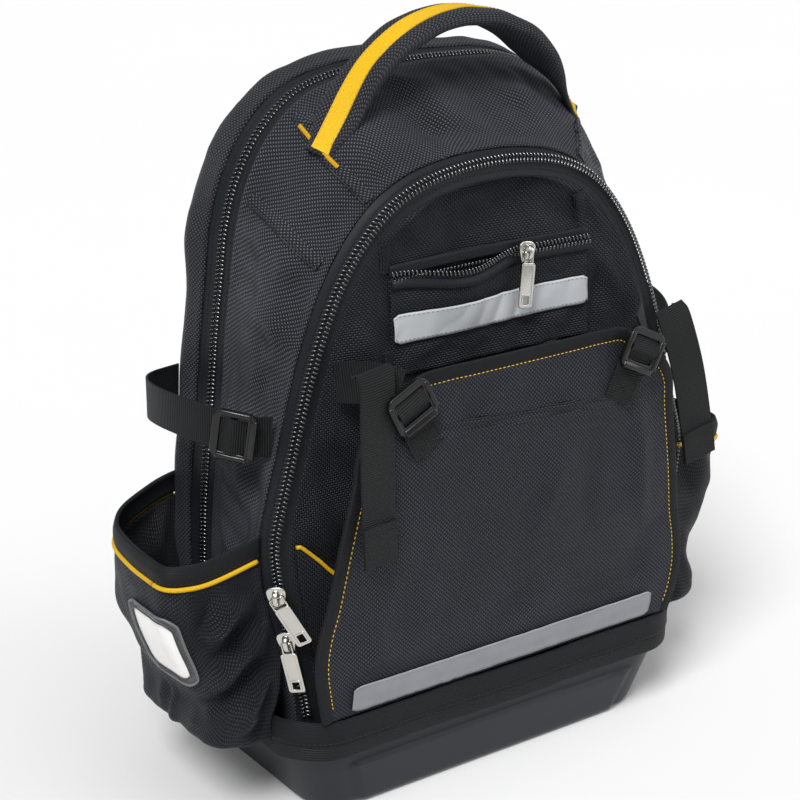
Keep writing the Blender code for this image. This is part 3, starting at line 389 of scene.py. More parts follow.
# threads that pass over and under each other, square by square; the thread crowns carry a painted glint and the gaps
# painted shade
def weaveGroup():
    group, start, end = newGroup("overUnderWeave", {"Across": 0.00125, "Along": 0.00125, "Slub": 0.25},
                                 ("Height", "Bright"))
    split = group.nodes.new("ShaderNodeSeparateXYZ")
    group.links.new(start["Place"], split.inputs[0])
    wobble = sums(group, "MULTIPLY", sums(group, "SUBTRACT", noiseOf(group, start["Place"], 260.0), 0.5),
                  start["Slub"])
    x = sums(group, "ADD", sums(group, "DIVIDE", split.outputs[0], start["Across"]), wobble)
    y = sums(group, "ADD", sums(group, "DIVIDE", split.outputs[1], start["Along"]), wobble)
    parity = sums(group, "FLOORED_MODULO", sums(group, "ADD", sums(group, "FLOOR", x), sums(group, "FLOOR", y)), 2.0)
    crownX = sums(group, "SINE", sums(group, "MULTIPLY", sums(group, "FRACT", x), np.pi))
    crownY = sums(group, "SINE", sums(group, "MULTIPLY", sums(group, "FRACT", y), np.pi))
    warp = sums(group, "MULTIPLY", sums(group, "POWER", crownX, 0.6), sums(group, "MULTIPLY_ADD", crownY, 0.6, 0.4))
    weft = sums(group, "MULTIPLY", sums(group, "POWER", crownY, 0.6), sums(group, "MULTIPLY_ADD", crownX, 0.6, 0.4))
    height = sums(group, "ADD", sums(group, "MULTIPLY", weft, parity),
                  sums(group, "MULTIPLY", warp, sums(group, "SUBTRACT", 1.0, parity)))
    # painted light: glinting crowns on one set of threads, with the crossing set and the gaps painted dark as shade
    lit = sums(group, "MULTIPLY", height, sums(group, "MULTIPLY_ADD", parity, -0.90, 1.0))
    group.links.new(height, end["Height"])
    group.links.new(lit, end["Bright"])
    return group


# ribs that run across a tape, their crowns carrying a painted glint
def ribGroup():
    group, start, end = newGroup("crossRibs", {"Pitch": 0.0011, "Slant": 0.0, "Slub": 0.3}, ("Height", "Bright"))
    split = group.nodes.new("ShaderNodeSeparateXYZ")
    group.links.new(start["Place"], split.inputs[0])
    wobble = sums(group, "MULTIPLY", sums(group, "SUBTRACT", noiseOf(group, start["Place"], 420.0), 0.5),
                  start["Slub"])
    slanted = sums(group, "MULTIPLY_ADD", split.outputs[0], start["Slant"], split.outputs[1])
    y = sums(group, "ADD", sums(group, "DIVIDE", slanted, start["Pitch"]), wobble)
    height = sums(group, "SINE", sums(group, "MULTIPLY", sums(group, "FRACT", y), np.pi))
    group.links.new(height, end["Height"])
    group.links.new(sums(group, "MULTIPLY", height, noiseOf(group, start["Place"], 900.0)), end["Bright"])
    return group


# slow changes of shade, and fine grain
def wearGroup():
    group, start, end = newGroup("slowShade", {"Scale": 14.0, "Grain": 2200.0}, ("Shade", "Grain"))
    shade = noiseOf(group, start["Place"], start["Scale"], 4.0, 0.6)
    group.links.new(shade, end["Shade"])
    group.links.new(noiseOf(group, start["Place"], start["Grain"], 2.0, 0.6), end["Grain"])
    return group


groups = {"weave": weaveGroup(), "rib": ribGroup(), "wear": wearGroup()}


def useGroup(tree, word, place, **values):
    node = tree.nodes.new("ShaderNodeGroup")
    node.node_tree = groups[word]
    tree.links.new(place, node.inputs["Place"])
    for name, value in values.items():
        node.inputs[name].default_value = value
    return node.outputs


def newLook(name, roughness, metallic=0.0, specular=0.5, sheen=0.0, sheenTint=(1, 1, 1), coat=0.0):
    look = bpy.data.materials.new(name)
    look.use_nodes = True
    tree = look.node_tree
    shader = tree.nodes["Principled BSDF"]
    shader.inputs["Roughness"].default_value = roughness
    shader.inputs["Metallic"].default_value = metallic
    shader.inputs["Specular IOR Level"].default_value = specular
    shader.inputs["Sheen Weight"].default_value = sheen
    shader.inputs["Sheen Roughness"].default_value = 0.4
    shader.inputs["Sheen Tint"].default_value = (*sheenTint, 1)
    shader.inputs["Coat Weight"].default_value = coat
    return look, tree, shader


def mixed(tree, share, first, second):
    node = tree.nodes.new("ShaderNodeMix")
    node.data_type = "RGBA"
    wire(tree, share, node.inputs["Factor"])
    for socket, value in ((node.inputs["A"], first), (node.inputs["B"], second)):
        wire(tree, value if isinstance(value, bpy.types.NodeSocket) else (*value, 1), socket)
    return node.outputs["Result"]


def bumped(tree, shader, height, distance, strength=1.0):
    node = tree.nodes.new("ShaderNodeBump")
    node.inputs["Strength"].default_value = strength
    node.inputs["Distance"].default_value = distance
    tree.links.new(height, node.inputs["Height"])
    tree.links.new(node.outputs["Normal"], shader.inputs["Normal"])


def mapPlace(tree):
    node = tree.nodes.new("ShaderNodeUVMap")
    node.uv_map = "UVMap"
    return node.outputs["UV"]


def objectPlace(tree):
    return tree.nodes.new("ShaderNodeTexCoord").outputs["Object"]


# woven cloth, slightly shiny: the threads' painted glint and the painted shade of the gaps set its colour
def clothLook(name, dark, light, across, along, depth, roughness=0.55, kind="weave", sheen=0.03, slub=0.25,
              tint=(0.75, 0.80, 1.0)):
    look, tree, shader = newLook(name, roughness, specular=0.18, sheen=sheen, sheenTint=tint)
    place = mapPlace(tree)
    if kind == "weave":
        threads = useGroup(tree, "weave", place, Across=across, Along=along, Slub=slub)
    else:
        threads = useGroup(tree, "rib", place, Pitch=along, Slant=across, Slub=slub)
    shade = useGroup(tree, "wear", objectPlace(tree))
    # the painted glint of the thread crowns, times the slow random tone, mixes the dark and light colours
    paintedGlintShare = sums(tree, "MULTIPLY", threads["Bright"], sums(tree, "MULTIPLY_ADD", shade["Shade"], 1.35, 0.30),
                  clamp=True)
    tree.links.new(mixed(tree, paintedGlintShare, dark, light), shader.inputs["Base Color"])
    tree.links.new(sums(tree, "MULTIPLY_ADD", threads["Bright"], -0.22, roughness + 0.14), shader.inputs["Roughness"])
    bumped(tree, shader, threads["Height"], depth)
    return look


def plainLook(name, colour, other, roughness, grain=2200.0, depth=0.0001, scale=14.0, metallic=0.0, specular=0.5,
              coat=0.0, sheen=0.0):
    look, tree, shader = newLook(name, roughness, metallic, specular, sheen, coat=coat)
    shade = useGroup(tree, "wear", objectPlace(tree), Scale=scale, Grain=grain)
    tree.links.new(mixed(tree, shade["Shade"], colour, other), shader.inputs["Base Color"])
    tree.links.new(sums(tree, "MULTIPLY_ADD", shade["Grain"], 0.16, roughness - 0.08), shader.inputs["Roughness"])
    bumped(tree, shader, shade["Grain"], depth)
    return look


def vinylLook():
    look, tree, shader = newLook("clearVinyl", 0.08, specular=0.6, coat=0.4)
    shade = useGroup(tree, "wear", objectPlace(tree), Scale=60.0)
    tree.links.new(mixed(tree, shade["Shade"], (0.55, 0.56, 0.57), (0.68, 0.69, 0.70)), shader.inputs["Base Color"])
    tree.links.new(sums(tree, "MULTIPLY_ADD", shade["Shade"], 0.05, 0.02), shader.inputs["Alpha"])
    tree.links.new(sums(tree, "MULTIPLY_ADD", shade["Grain"], 0.10, 0.04), shader.inputs["Roughness"])
    bumped(tree, shader, shade["Shade"], 0.002, 0.4)
    return look


looks = {
    "nylon": clothLook("ballisticNylon", (0.0018, 0.0018, 0.0026), (0.076, 0.080, 0.098), 0.0015, 0.0015, 0.0007,
                       0.38),
    "sleeveNylon": clothLook("sleeveNylon", (0.004, 0.004, 0.005), (0.060, 0.062, 0.072), 0.0015, 0.0015, 0.0006,
                             0.45),
    # the same nylon painted darker: painted shade for the rear side and the back
    "rearShadedNylon": clothLook("rearShadedNylon", (0.0020, 0.0020, 0.0028), (0.058, 0.060, 0.073), 0.0015, 0.0015, 0.0007,
                           0.40),
    "flapNylon": clothLook("flapNylon", (0.0020, 0.0024, 0.0036), (0.041, 0.0455, 0.062), 0.0015, 0.0015, 0.0006,
                           0.42),
    # the nylon painted darker: painted shade on the front panel and the pockets
    "panelShadedNylon": clothLook("panelShadedNylon", (0.0012, 0.0012, 0.0018), (0.0285, 0.031, 0.039), 0.0015, 0.0015, 0.0008,
                            0.40),
    "tape": clothLook("zipTape", (0.0045, 0.0055, 0.0068), (0.0145, 0.0175, 0.0215), 0.3, 0.0009, 0.00010, 0.40,
                      "rib"),
    "webbing": clothLook("ribbedWebbing", (0.0018, 0.0019, 0.0020), (0.019, 0.0205, 0.021), 0.06, 0.00165, 0.00045,
                         0.55, "rib"),
    "grosgrain": clothLook("grosgrain", (0.0018, 0.0020, 0.0025), (0.012, 0.013, 0.0155), 0.0, 0.0012, 0.00025, 0.55,
                           "rib"),
    "trim": clothLook("yellowTrim", (0.46, 0.25, 0.003), (0.84, 0.555, 0.015), 0.0, 0.0009, 0.0002, 0.5, "rib", 0.05,
                      tint=(1, 0.9, 0.6)),
    "thread": plainLook("yellowThread", (0.40, 0.25, 0.012), (0.58, 0.38, 0.028), 0.5),
    # black thread, also used for the painted shadow line along the seams
    "blackThreadAndShadow": plainLook("blackThreadAndShadow", (0.004, 0.004, 0.005), (0.010, 0.010, 0.012), 0.42, specular=0.3),
    "greyThread": plainLook("greyThread", (0.10, 0.10, 0.11), (0.18, 0.18, 0.19), 0.6),
    "coil": plainLook("zipCoil", (0.004, 0.004, 0.005), (0.009, 0.010, 0.012), 0.16, 3000.0, 0.00003, specular=1.0,
                      coat=0.5),
    "reflective": plainLook("reflectiveTape", (0.165, 0.17, 0.188), (0.225, 0.23, 0.252), 0.36, 1600.0, 0.00008, 30.0,
                            specular=0.5),
    # the same reflective tape as above, painted brighter: painted light to offset the shade in the pocket's recess
    "pocketReflectivePaintedLight": plainLook("pocketReflectivePaintedLight", (0.32, 0.335, 0.355), (0.42, 0.435, 0.455), 0.36, 1600.0,
                                  0.00008, 30.0, specular=0.5),
    "moulded": plainLook("mouldedBase", (0.0095, 0.0118, 0.0155), (0.0145, 0.0175, 0.0220), 0.44, 1800.0, 0.00006,
                         10.0, specular=0.28),
    "buckle": plainLook("bucklePlastic", (0.0025, 0.0025, 0.003), (0.005, 0.0052, 0.0058), 0.28, 1500.0, 0.00003,
                        specular=0.4),
    "nickel": plainLook("nickelPlate", (0.50, 0.485, 0.45), (0.64, 0.62, 0.58), 0.24, 900.0, 0.00001, 120.0,
                        metallic=1.0),
    "card": plainLook("whiteCard", (0.80, 0.79, 0.77), (0.88, 0.87, 0.85), 0.6, 1500.0, 0.00001, 20.0),
    "frameVinyl": plainLook("darkVinyl", (0.004, 0.0045, 0.005), (0.010, 0.011, 0.012), 0.32, 1500.0, 0.00002, 40.0,
                            specular=0.4),
    "greyPiping": plainLook("greyPiping", (0.07, 0.074, 0.08), (0.13, 0.135, 0.145), 0.4),
    "vinyl": vinylLook(),
    "padding": clothLook("knittedPadding", (0.003, 0.003, 0.0035), (0.028, 0.028, 0.031), 0.0024, 0.0018, 0.0007, 0.6,
                         sheen=0.05),
}
print("finishes made:", len(looks))

# ---- the cloth body: two zipped arches and what lies between them

bodySet = {
    "frontTop": 0.424, "frontHalf": 0.170, "frontY": 0.0893, "frontLean": 0.015, "frontToe": 0.002,
    "rearTop": 0.474, "rearHalf": 0.160, "rearY": 0.0285, "rearLean": 0.0485, "backY": 0.072,
    "low": 0.0604, "bindingTop": 0.0755, "tape": 0.012, "chainHalf": 0.0045, "wall": 0.0018,
    "gussetSwell": 0.005, "rearSwell": 0.008, "rearCorner": 0.030, "lidRecess": 0.009, "dent": 0.006,
    "frontArch": (
        (0.000, 0.880), (0.058, 0.888), (0.188, 0.942), (0.312, 0.990), (0.395, 1.000), (0.505, 0.938),
        (0.616, 0.872),
        (0.699, 0.815), (0.768, 0.759), (0.823, 0.703), (0.878, 0.624), (0.923, 0.535), (0.959, 0.429),
        (0.983, 0.294),
        (0.996, 0.147), (1.000, 0.000),
    ),
    "rearArch": (
        (0.000, 0.935), (0.141, 0.994), (0.335, 0.994), (0.529, 0.963), (0.675, 0.925), (0.740, 0.909),
        (0.784, 0.897),
        (0.828, 0.866), (0.867, 0.825), (0.903, 0.769), (0.937, 0.694), (0.964, 0.606), (0.985, 0.488),
        (0.995, 0.325),
        (0.999, 0.156), (1.000, 0.000),
    ),
    # side, share from the front arch to the rear one, height, reach, depth
    "dents": ((-1, 0.50, 0.80, 0.10, 0.8), (-1, 0.35, 0.93, 0.09, -0.5), (-1, 0.60, 0.55, 0.12, 0.6),
              (1, 0.55, 0.78, 0.11, 0.7), (1, 0.40, 0.50, 0.12, 0.5), (1, 0.30, 0.95, 0.08, -0.5)),
}
halfCount = 16


def archLine(table, top, half):
    low = bodySet["low"]
    left = [(-share * half, low + height * (top - low)) for height, share in table]
    return curveThrough(np.array(left + [(-x, z) for x, z in reversed(left[:-1])]), 2 * halfCount + 1)


def outset(line, distance, fadeLow, fadeHigh):
    run = np.gradient(line, axis=0)
    normal = unit(np.stack([-run[:, 1], run[:, 0]], 1))
    moved = line + normal * distance * (ease(line[:, 1], fadeLow, fadeHigh)[:, None] if distance > 0 else 1.0)
    moved[[0, -1], 1] = line[[0, -1], 1]
    return moved


def ringAt(line, y):
    return np.stack([line[:, 0], np.broadcast_to(y, len(line)), line[:, 1]], 1)


def frontPlane(z):
    toe = bodySet["frontToe"] * (1 - ease(z, bodySet["bindingTop"] - 0.006, bodySet["bindingTop"] + 0.065))
    return -(bodySet["frontY"] - bodySet["frontLean"] * z) - toe


def rearPlane(z):
    return bodySet["rearY"] - bodySet["rearLean"] * z


frontLine = archLine(bodySet["frontArch"], bodySet["frontTop"], bodySet["frontHalf"])
rearLine = archLine(bodySet["rearArch"], bodySet["rearTop"], bodySet["rearHalf"])


def halfWidth(line, z):
    half = line[: halfCount + 1]
    return -np.interp(z, half[:, 1], half[:, 0])


def frontFace(x, z):
    half = np.maximum(halfWidth(frontLine, z), 0.02)
    recess = bodySet["lidRecess"] * ease(z, 0.258, 0.358)
    return frontPlane(z) - 0.002 + recess * (1 - np.clip(x / half, -1, 1) ** 2)


def bodyStack():
    tape, chain, back = bodySet["tape"], bodySet["chainHalf"], bodySet["backY"]
    fade = (bodySet["bindingTop"], bodySet["bindingTop"] + 0.11)
    rearZ, frontZ = rearLine[:, 1], frontLine[:, 1]

    def rearRing(out, past):
        start = rearPlane(rearZ) + tape
        return ringAt(outset(rearLine, out, *fade), start + (back - start) * past)

    corner = bodySet["rearCorner"]
    edge = rearRing(-0.95 * corner, 1.0)
    stack = []
    for share in np.linspace(1, 0, 4):
        inner = edge.copy()
        inner[:, 0] *= 1 - share
        inner[:, 2] -= (edge[:, 2] - edge[0, 2]) * 0.10 * share
        stack.append(inner)
    stack += [rearRing(-0.45 * corner, 0.92), rearRing(-0.10 * corner, 0.68), rearRing(bodySet["rearSwell"], 0.34)]
    for step, out in zip((tape, chain, 0.0, -chain, -tape), (0.004, 0.0025, 0.0010, 0.0010, 0.001)):
        stack.append(ringAt(outset(rearLine, out, *fade), rearPlane(rearZ) + step))
    gussetBack = stack[-1]
    front = []
    for step, out in zip((tape, chain, 0.0, -chain, -tape), (0.0045, 0.0015, 0.0, -0.004, -tape)):
        front.append(ringAt(outset(frontLine, out, *fade), frontPlane(frontZ) + (step if step > 0 else step * 0.15)))
    for share in (0.25, 0.5, 0.75):
        middle = gussetBack + (front[0] - gussetBack) * share
        line = outset(middle[:, [0, 2]], bodySet["gussetSwell"] * np.sin(np.pi * share), *fade)
        stack.append(ringAt(line, middle[:, 1]))
    stack = np.array(stack + front)
    depth = np.zeros(stack.shape[:2])
    for side, share, height, reach, amount in bodySet["dents"]:
        z = height * bodySet["rearTop"]
        y = frontPlane(z) + (rearPlane(z) - frontPlane(z)) * share
        half = halfWidth(frontLine, min(z, bodySet["frontTop"] * 0.97)) * (1 - share) + halfWidth(rearLine, z) * share
        gap = (stack - np.array([side * half, y, z])) / (reach * bodySet["rearTop"])
        depth -= bodySet["dent"] * amount * np.exp(-(gap**2).sum(axis=2))
    return stack - gridNormals(stack) * depth[:, :, None]


# slow uneven swells, the same on every run
def ripples(points, size, depth, seed):
    dice = np.random.default_rng(seed)
    total = np.zeros(points.shape[:-1])
    for _ in range(9):
        way = unit(dice.normal(size=3)) * 2 * np.pi / (size * dice.uniform(0.6, 1.7))
        total += np.sin(points @ way + dice.uniform(0, 6.3))
    return total / 3 * depth


def crumple(points, size, depth, seed):
    return ripples(points, size, depth, seed) + ripples(points, size * 0.42, depth * 0.34, seed + 100)


# folds: each from pixel to pixel of the photograph, half-width and depth in millimetres
def foldDepth(points, tree, folds):
    depth = np.zeros(points.shape[:-1])
    for x0, y0, x1, y1, width, rise in folds:
        start, _ = pixelOn(tree, x0, y0)
        end, _ = pixelOn(tree, x1, y1)
        if start is None or end is None:
            print("fold misses the cloth:", x0, y0, x1, y1)
            continue
        way = end - start
        share = np.clip(((points - start) @ way) / (way @ way), 0, 1)
        gap = np.linalg.norm(points - start - share[..., None] * way, axis=-1)
        taper = 0.25 + 0.75 * np.sin(np.pi * np.clip(share, 0.02, 0.98)) ** 0.7
        depth += rise / 1000 * taper * np.exp(-((gap / (width / 1000)) ** 2))
    return depth


stack = bodyStack()
stackFine = refine(refine(stack, 10), 10, axis=1)
stackNormal = -gridNormals(stackFine)
if stackNormal[135, 160, 2] < 0:
    stackNormal = -stackNormal
# rows of stackFine: the back's edge, where rear tape, wide band and front tape begin, and where the chains lie
fineRow = {"backEdge": 30, "rearZip": 70, "rearChain": 90, "gusset": 110, "frontZip": 150, "frontChain": 170,
           "end": 190}
bodyTree = treeOf(stackFine[::5, ::5])

# folds seen on the wide band and the rear side; last two numbers are millimetres
gussetSet = {
    "folds": (
        (300, 250, 325, 330, 12, -2.0), (262, 300, 300, 380, 12, 2.2), (330, 205, 350, 260, 10, -1.5),
        (400, 95, 470, 150, 14, -2.0),
        (480, 75, 560, 130, 12, 2.0), (430, 120, 540, 145, 8, -1.6), (290, 400, 285, 470, 9, -2.5),
        (250, 470, 262, 540, 10, -2.5),
        (350, 120, 395, 175, 12, 1.8), (500, 60, 545, 95, 10, -1.6),
    ),
    "rearFolds": ((215, 150, 200, 215, 14, -2.0), (240, 110, 290, 80, 12, -1.5), (360, 60, 440, 50, 14, 1.6)),
    "edgeRoll": 0.0012, "foldScale": 3.0, "rough": 0.0026, "rearRough": 0.0013,
}


def bandPiece(first, last, step, folds, seed, rough, roll=(True, True)):
    grid = stackFine[first : last + 1 : step].copy()
    out = stackNormal[first : last + 1 : step]
    depth = crumple(grid, 0.055, rough, seed) + foldDepth(grid, bodyTree, folds) * gussetSet["foldScale"]
    share = np.linspace(0, 1, len(grid))
    span = np.linalg.norm(grid[-1, 160] - grid[0, 160])
    lip = sum(gussetSet["edgeRoll"] * np.exp(-(((gap * span - 0.0025) / 0.0028) ** 2))
              for wanted, gap in ((roll[0], share), (roll[1], 1 - share)) if wanted)
    fade = ease(grid[..., 2], bodySet["bindingTop"] - 0.004, bodySet["bindingTop"] + 0.02)
    fade = fade * (ease(share * span, 0, 0.022) * ease((1 - share) * span, 0, 0.022))[:, None]
    grid += out * (depth * fade + (lip * np.ones(len(grid)))[:, None])[..., None]
    return grid[:, ::-1]


def addBody():
    rear = bandPiece(fineRow["backEdge"], fineRow["rearZip"], 2, gussetSet["rearFolds"], 3, gussetSet["rearRough"],
                     (False, True))
    clothPiece("rearSideCloth", rear, bodySet["wall"], looks["rearShadedNylon"], ("rear_shell",))
    back = stackFine[0 : fineRow["backEdge"] + 1 : 2, ::2][:, ::-1].copy()
    back[..., 1] += ripples(back, 0.08, 0.0008, 5)
    flat = back[..., [0, 2]]
    clothPiece("backCloth", back, bodySet["wall"], looks["rearShadedNylon"], (), flat)
    band = bandPiece(fineRow["gusset"], fineRow["frontZip"], 1, gussetSet["folds"], 7, gussetSet["rough"])
    clothPiece("wideBand", band, bodySet["wall"], looks["nylon"], ("middle_gusset",))
    tapes = (("rearTape", fineRow["rearZip"] - 2, fineRow["gusset"] + 2, "rear_zip"),
             ("frontTape", fineRow["frontZip"] - 2, fineRow["end"], "front_zip"))
    for name, first, last, node in tapes:
        tape = stackFine[first : last + 1 : 2, ::-1] - stackNormal[first : last + 1 : 2, ::-1] * 0.0004
        clothPiece(name, tape, 0.0012, looks["tape"], (node,))
    return treeOf(band[:, ::2])


bandTree = addBody()
print("cloth body made")

# the chain: two rows of little coils that meet in the middle
chainSet = {
    "pitch": 0.0029, "tooth": (0.0016, 0.0044, 0.0021), "apart": 0.0021, "rise": 0.0009, "slant": 0.22, "lean": 0.25,
    "ends": 6, "seamRows": {"rearChain": 16, "frontChain": 14}, "facingRows": 14,
}


def addChain(name, centre, out, rows=(-1, 1)):
    run = runLength(centre)
    frames = []
    for row in rows:
        at = np.arange(0 if row > 0 else chainSet["pitch"] / 2, run[-1], chainSet["pitch"])
        place = readAt(at, run, centre)
        facing = unit(readAt(at, run, out))
        way = unit(readAt(at, run, np.gradient(centre, axis=0)))
        side = np.cross(facing, way)
        slant = unit(way + side * row * chainSet["slant"])
        place = place + side * row * chainSet["apart"] + facing * chainSet["rise"]
        frames.append(axesAt(place, slant, facing + side * row * chainSet["lean"]))
    scatter(name, bead(chainSet["tooth"], 8, 6), np.concatenate(frames), looks["coil"])


def addChains():
    inner = slice(chainSet["ends"], -chainSet["ends"])
    for name in ("rearChain", "frontChain"):
        row = fineRow[name]
        addChain(name, stackFine[row, inner], stackNormal[row, inner])
        for word, way in (("Left", 1), ("Right", -1)):
            seam = stackFine[row + way * chainSet["seamRows"][name], inner]
            facing = stackNormal[row + way * chainSet["facingRows"], inner]
            stitchRow(name + "Stitch" + word, seam, facing, looks["blackThreadAndShadow"], "zip")


addChains()
print("zip chains made")

# ---- the front face inside the front arch

panelSet = {
    "folds": (
        (396, 232, 425, 262, 8, -1.5), (440, 205, 520, 180, 10, 2.0), (545, 200, 590, 230, 9, -1.6),
        (360, 330, 372, 372, 8, 1.8),
        (590, 330, 600, 270, 6, -1.8), (560, 330, 566, 345, 6, -1.6), (600, 250, 620, 290, 6, 1.6),
    ),
}


def addFrontPanel():
    inner = refine(stack[-1], 10)
    half = inner[:161]
    rows = np.linspace(half[0, 2], half[160, 2] - 0.0004, 150)
    grid = []
    for z in rows:
        edge = -np.interp(z, half[:, 2], half[:, 0]) + 0.0015
        x = np.linspace(-1, 1, 121) * edge
        face = frontFace(x, z)
        edgeY = np.interp(z, half[:, 2], half[:, 1])
        near = ease(np.abs(x), edge - 0.016, edge)
        grid.append(np.stack([x, face * (1 - near) + (edgeY + 0.0004) * near, np.full(121, z)], 1))
    grid = np.array(grid)
    depth = crumple(grid, 0.055, 0.0020, 11) + foldDepth(grid, treeOf(grid[::3, ::3]), panelSet["folds"]) * 2.2
    near = 1 - ease(np.abs(np.linspace(-1, 1, 121)), 0.86, 0.99)
    grid[..., 1] -= depth * near
    clothPiece("frontPanel", grid, bodySet["wall"], looks["panelShadedNylon"], ("front_panel",),
               grid[..., [0, 2]])
    return treeOf(grid[::3, ::3])


panelTree = addFrontPanel()
print("front panel made")

# ---- the moulded base and the band that joins it to the cloth

baseSet = {"halfWidth": 0.138, "front": 0.088, "back": 0.0585, "flare": 0.026, "corner": 0.026, "height": 0.060,
           "facet": 0.003, "edge": 0.006, "bandThick": 0.0035}


def roundedPlan(half, front, back, radius, count=14):
    found = []
    for index, (sx, sy, reach) in enumerate(((1, -1, front), (1, 1, back), (-1, 1, back), (-1, -1, front))):
        centre = np.array([sx * (half - radius), sy * (reach - radius)])
        for turn in np.linspace(-np.pi / 2, 0, count) + index * np.pi / 2:
            found.append(centre + radius * np.array([np.cos(turn), np.sin(turn)]))
    return np.array(found + found[:1])


def basePlan(z, wider=0.0):
    share = z / baseSet["height"]
    grow = baseSet["flare"] * (np.sqrt(max(share, 0)) if share < 0.05 else 0.15 + 0.85 * share)
    plan = roundedPlan(baseSet["halfWidth"] + grow + wider, baseSet["front"] + 0.65 * grow + wider,
                       baseSet["back"] + 0.6 * grow + wider, baseSet["corner"] + 0.3 * grow + wider)
    return evenly(plan, 301)


def addBase():
    edge, height = baseSet["edge"], baseSet["height"]
    rows = []
    turns = np.linspace(0, np.pi / 2, 6)
    levels = [(edge * (1 - np.cos(t)), -edge * 0.7 * (1 - np.sin(t))) for t in turns] + [
        (z, 0.0) for z in np.linspace(edge, height, 34)[1:]
    ]
    for z, wider in levels:
        plan = basePlan(z, wider)
        x, y = plan[:, 0], plan[:, 1].copy()
        slope = 0.112 + 0.34 * z
        facet = ease(slope - np.abs(x), 0, 0.005) * ease(0.0375 - 0.020 * (x + 0.12) ** 2 - z, 0, 0.0035)
        y -= np.where(plan[:, 1] < -baseSet["front"] * 0.8, facet * baseSet["facet"], 0)
        rows.append(np.column_stack([x, y, np.full(len(x), z)]))
    for z, wider in ((height, -0.017), (height - 0.003, -0.017), (height - 0.006, -0.003), (0.0075, -0.003),
                     (0.003, -0.0075)):
        plan = basePlan(max(z, 0.004), wider)
        rows.append(np.column_stack([plan, np.full(len(plan), z)]))
    grid = np.array(rows)
    low, floor = grid[:1].copy(), grid[-1:].copy()
    low[..., :2] *= 0.02
    floor[..., :2] *= 0.02
    grid = np.concatenate([low, grid, floor])
    obj = gridPiece("mouldedBase", grid)
    weld(obj)
    capEnds(obj)
    outward(obj)
    settle(obj, looks["moulded"], ("base_tub",), angle=35)


def bandLoop(name, low, high, thick, bulge, look, nodes=()):
    rows = []
    section = roundSection(high - low, thick, 20, 4.0)
    middle = (low + high) / 2
    for up, out in [(a, b) for a, b in section] + [tuple(section[0])]:
        plan = basePlan(baseSet["height"], 0.0006 + thick / 2 + out + bulge)
        z = np.full(len(plan), middle + up)
        wave = ripples(np.column_stack([plan, z]), 0.05, 0.0005, 17)
        rows.append(np.column_stack([plan, z + wave]))
    obj = gridPiece(name, np.array(rows)[:, ::-1])
    weld(obj)
    outward(obj)
    settle(obj, look, nodes)


addBase()
bandLoop("baseBandUpper", 0.0585, 0.0760, 0.0034, 0.0, looks["grosgrain"], ("base_binding",))
bandLoop("baseBandLower", 0.0482, 0.0592, 0.0030, -0.0002, looks["webbing"])
bandPath = np.column_stack([basePlan(0.060, 0.0040), np.full(301, 0.0612)])
bandOut = unit(np.column_stack([np.gradient(bandPath[:, 1]), -np.gradient(bandPath[:, 0]), np.zeros(301)]))
stitchRow("baseBandStitch", bandPath, bandOut, looks["blackThreadAndShadow"], "band")
print("base made")

# ---- the front flap

flapSet = {
    "low": 0.0763, "top": 0.308, "half": 0.155, "foot": 0.1045, "standOff": 0.120, "thick": 0.003, "binding": 0.008,
    "bindingThick": 0.0042, "swell": 0.005,
    "outline": ((0.000, 0.955), (0.090, 0.985), (0.170, 1.000), (0.270, 0.985), (0.370, 0.948), (0.490, 0.918),
                (0.660, 0.868),
                (0.750, 0.842), (0.835, 0.826), (0.865, 0.806), (0.960, 0.585), (0.990, 0.548), (1.000, 0.500),
                (1.000, 0.250),
                (1.000, 0.000)),
    "lean": ((0.0, 0.0), (0.06, 0.22), (0.26, 0.30), (0.49, 0.60), (0.75, 0.90), (1.0, 1.0)),
    "folds": (
        (400, 440, 500, 420, 8, 1.0), (500, 420, 618, 400, 8, 1.0), (402, 436, 620, 396, 2.5, -1.3),
        (600, 420, 585, 520, 8, -1.6),
        (560, 450, 535, 540, 10, 1.4), (640, 400, 640, 520, 8, 1.6), (385, 600, 372, 670, 10, 1.4),
        (420, 560, 400, 640, 12, -1.4),
        (520, 590, 512, 650, 14, -1.2), (640, 540, 632, 600, 10, -1.4), (480, 400, 470, 430, 10, -1.0),
        (345, 690, 400, 668, 6, -1.2),
    ),
}


def flapDepth(x, z):
    share = (z - flapSet["low"]) / (flapSet["top"] - flapSet["low"])
    half = flapSet["half"] * lookUp(flapSet["outline"][:11], np.clip(share, 0, 0.96))
    lean = lookUp(flapSet["lean"], share)
    for shift in (-0.04, 0.04):
        lean = lean + lookUp(flapSet["lean"], np.clip(share + shift, 0, 1))
    swell = flapSet["swell"] * np.sin(np.pi * np.clip(share, 0, 1)) * (1 - np.clip(x / half, -1, 1) ** 2)
    return -(flapSet["foot"] + (flapSet["standOff"] - flapSet["foot"]) * lean / 3) - swell


def flapOutline():
    low, top, half = flapSet["low"], flapSet["top"], flapSet["half"]
    left = [(-share * half, low + height * (top - low)) for height, share in flapSet["outline"]]
    coarse = curveThrough(np.array(left + [(-x, z) for x, z in reversed(left[:-1])]), 2 * halfCount + 1)
    return curveThrough(coarse, 321)


flapLine = flapOutline()


def flapRing(inset, out=0.0):
    run = np.gradient(flapLine, axis=0)
    line = flapLine - unit(np.stack([-run[:, 1], run[:, 0]], 1)) * inset
    return np.stack([line[:, 0], flapDepth(line[:, 0], line[:, 1]) - out, line[:, 1]], 1)


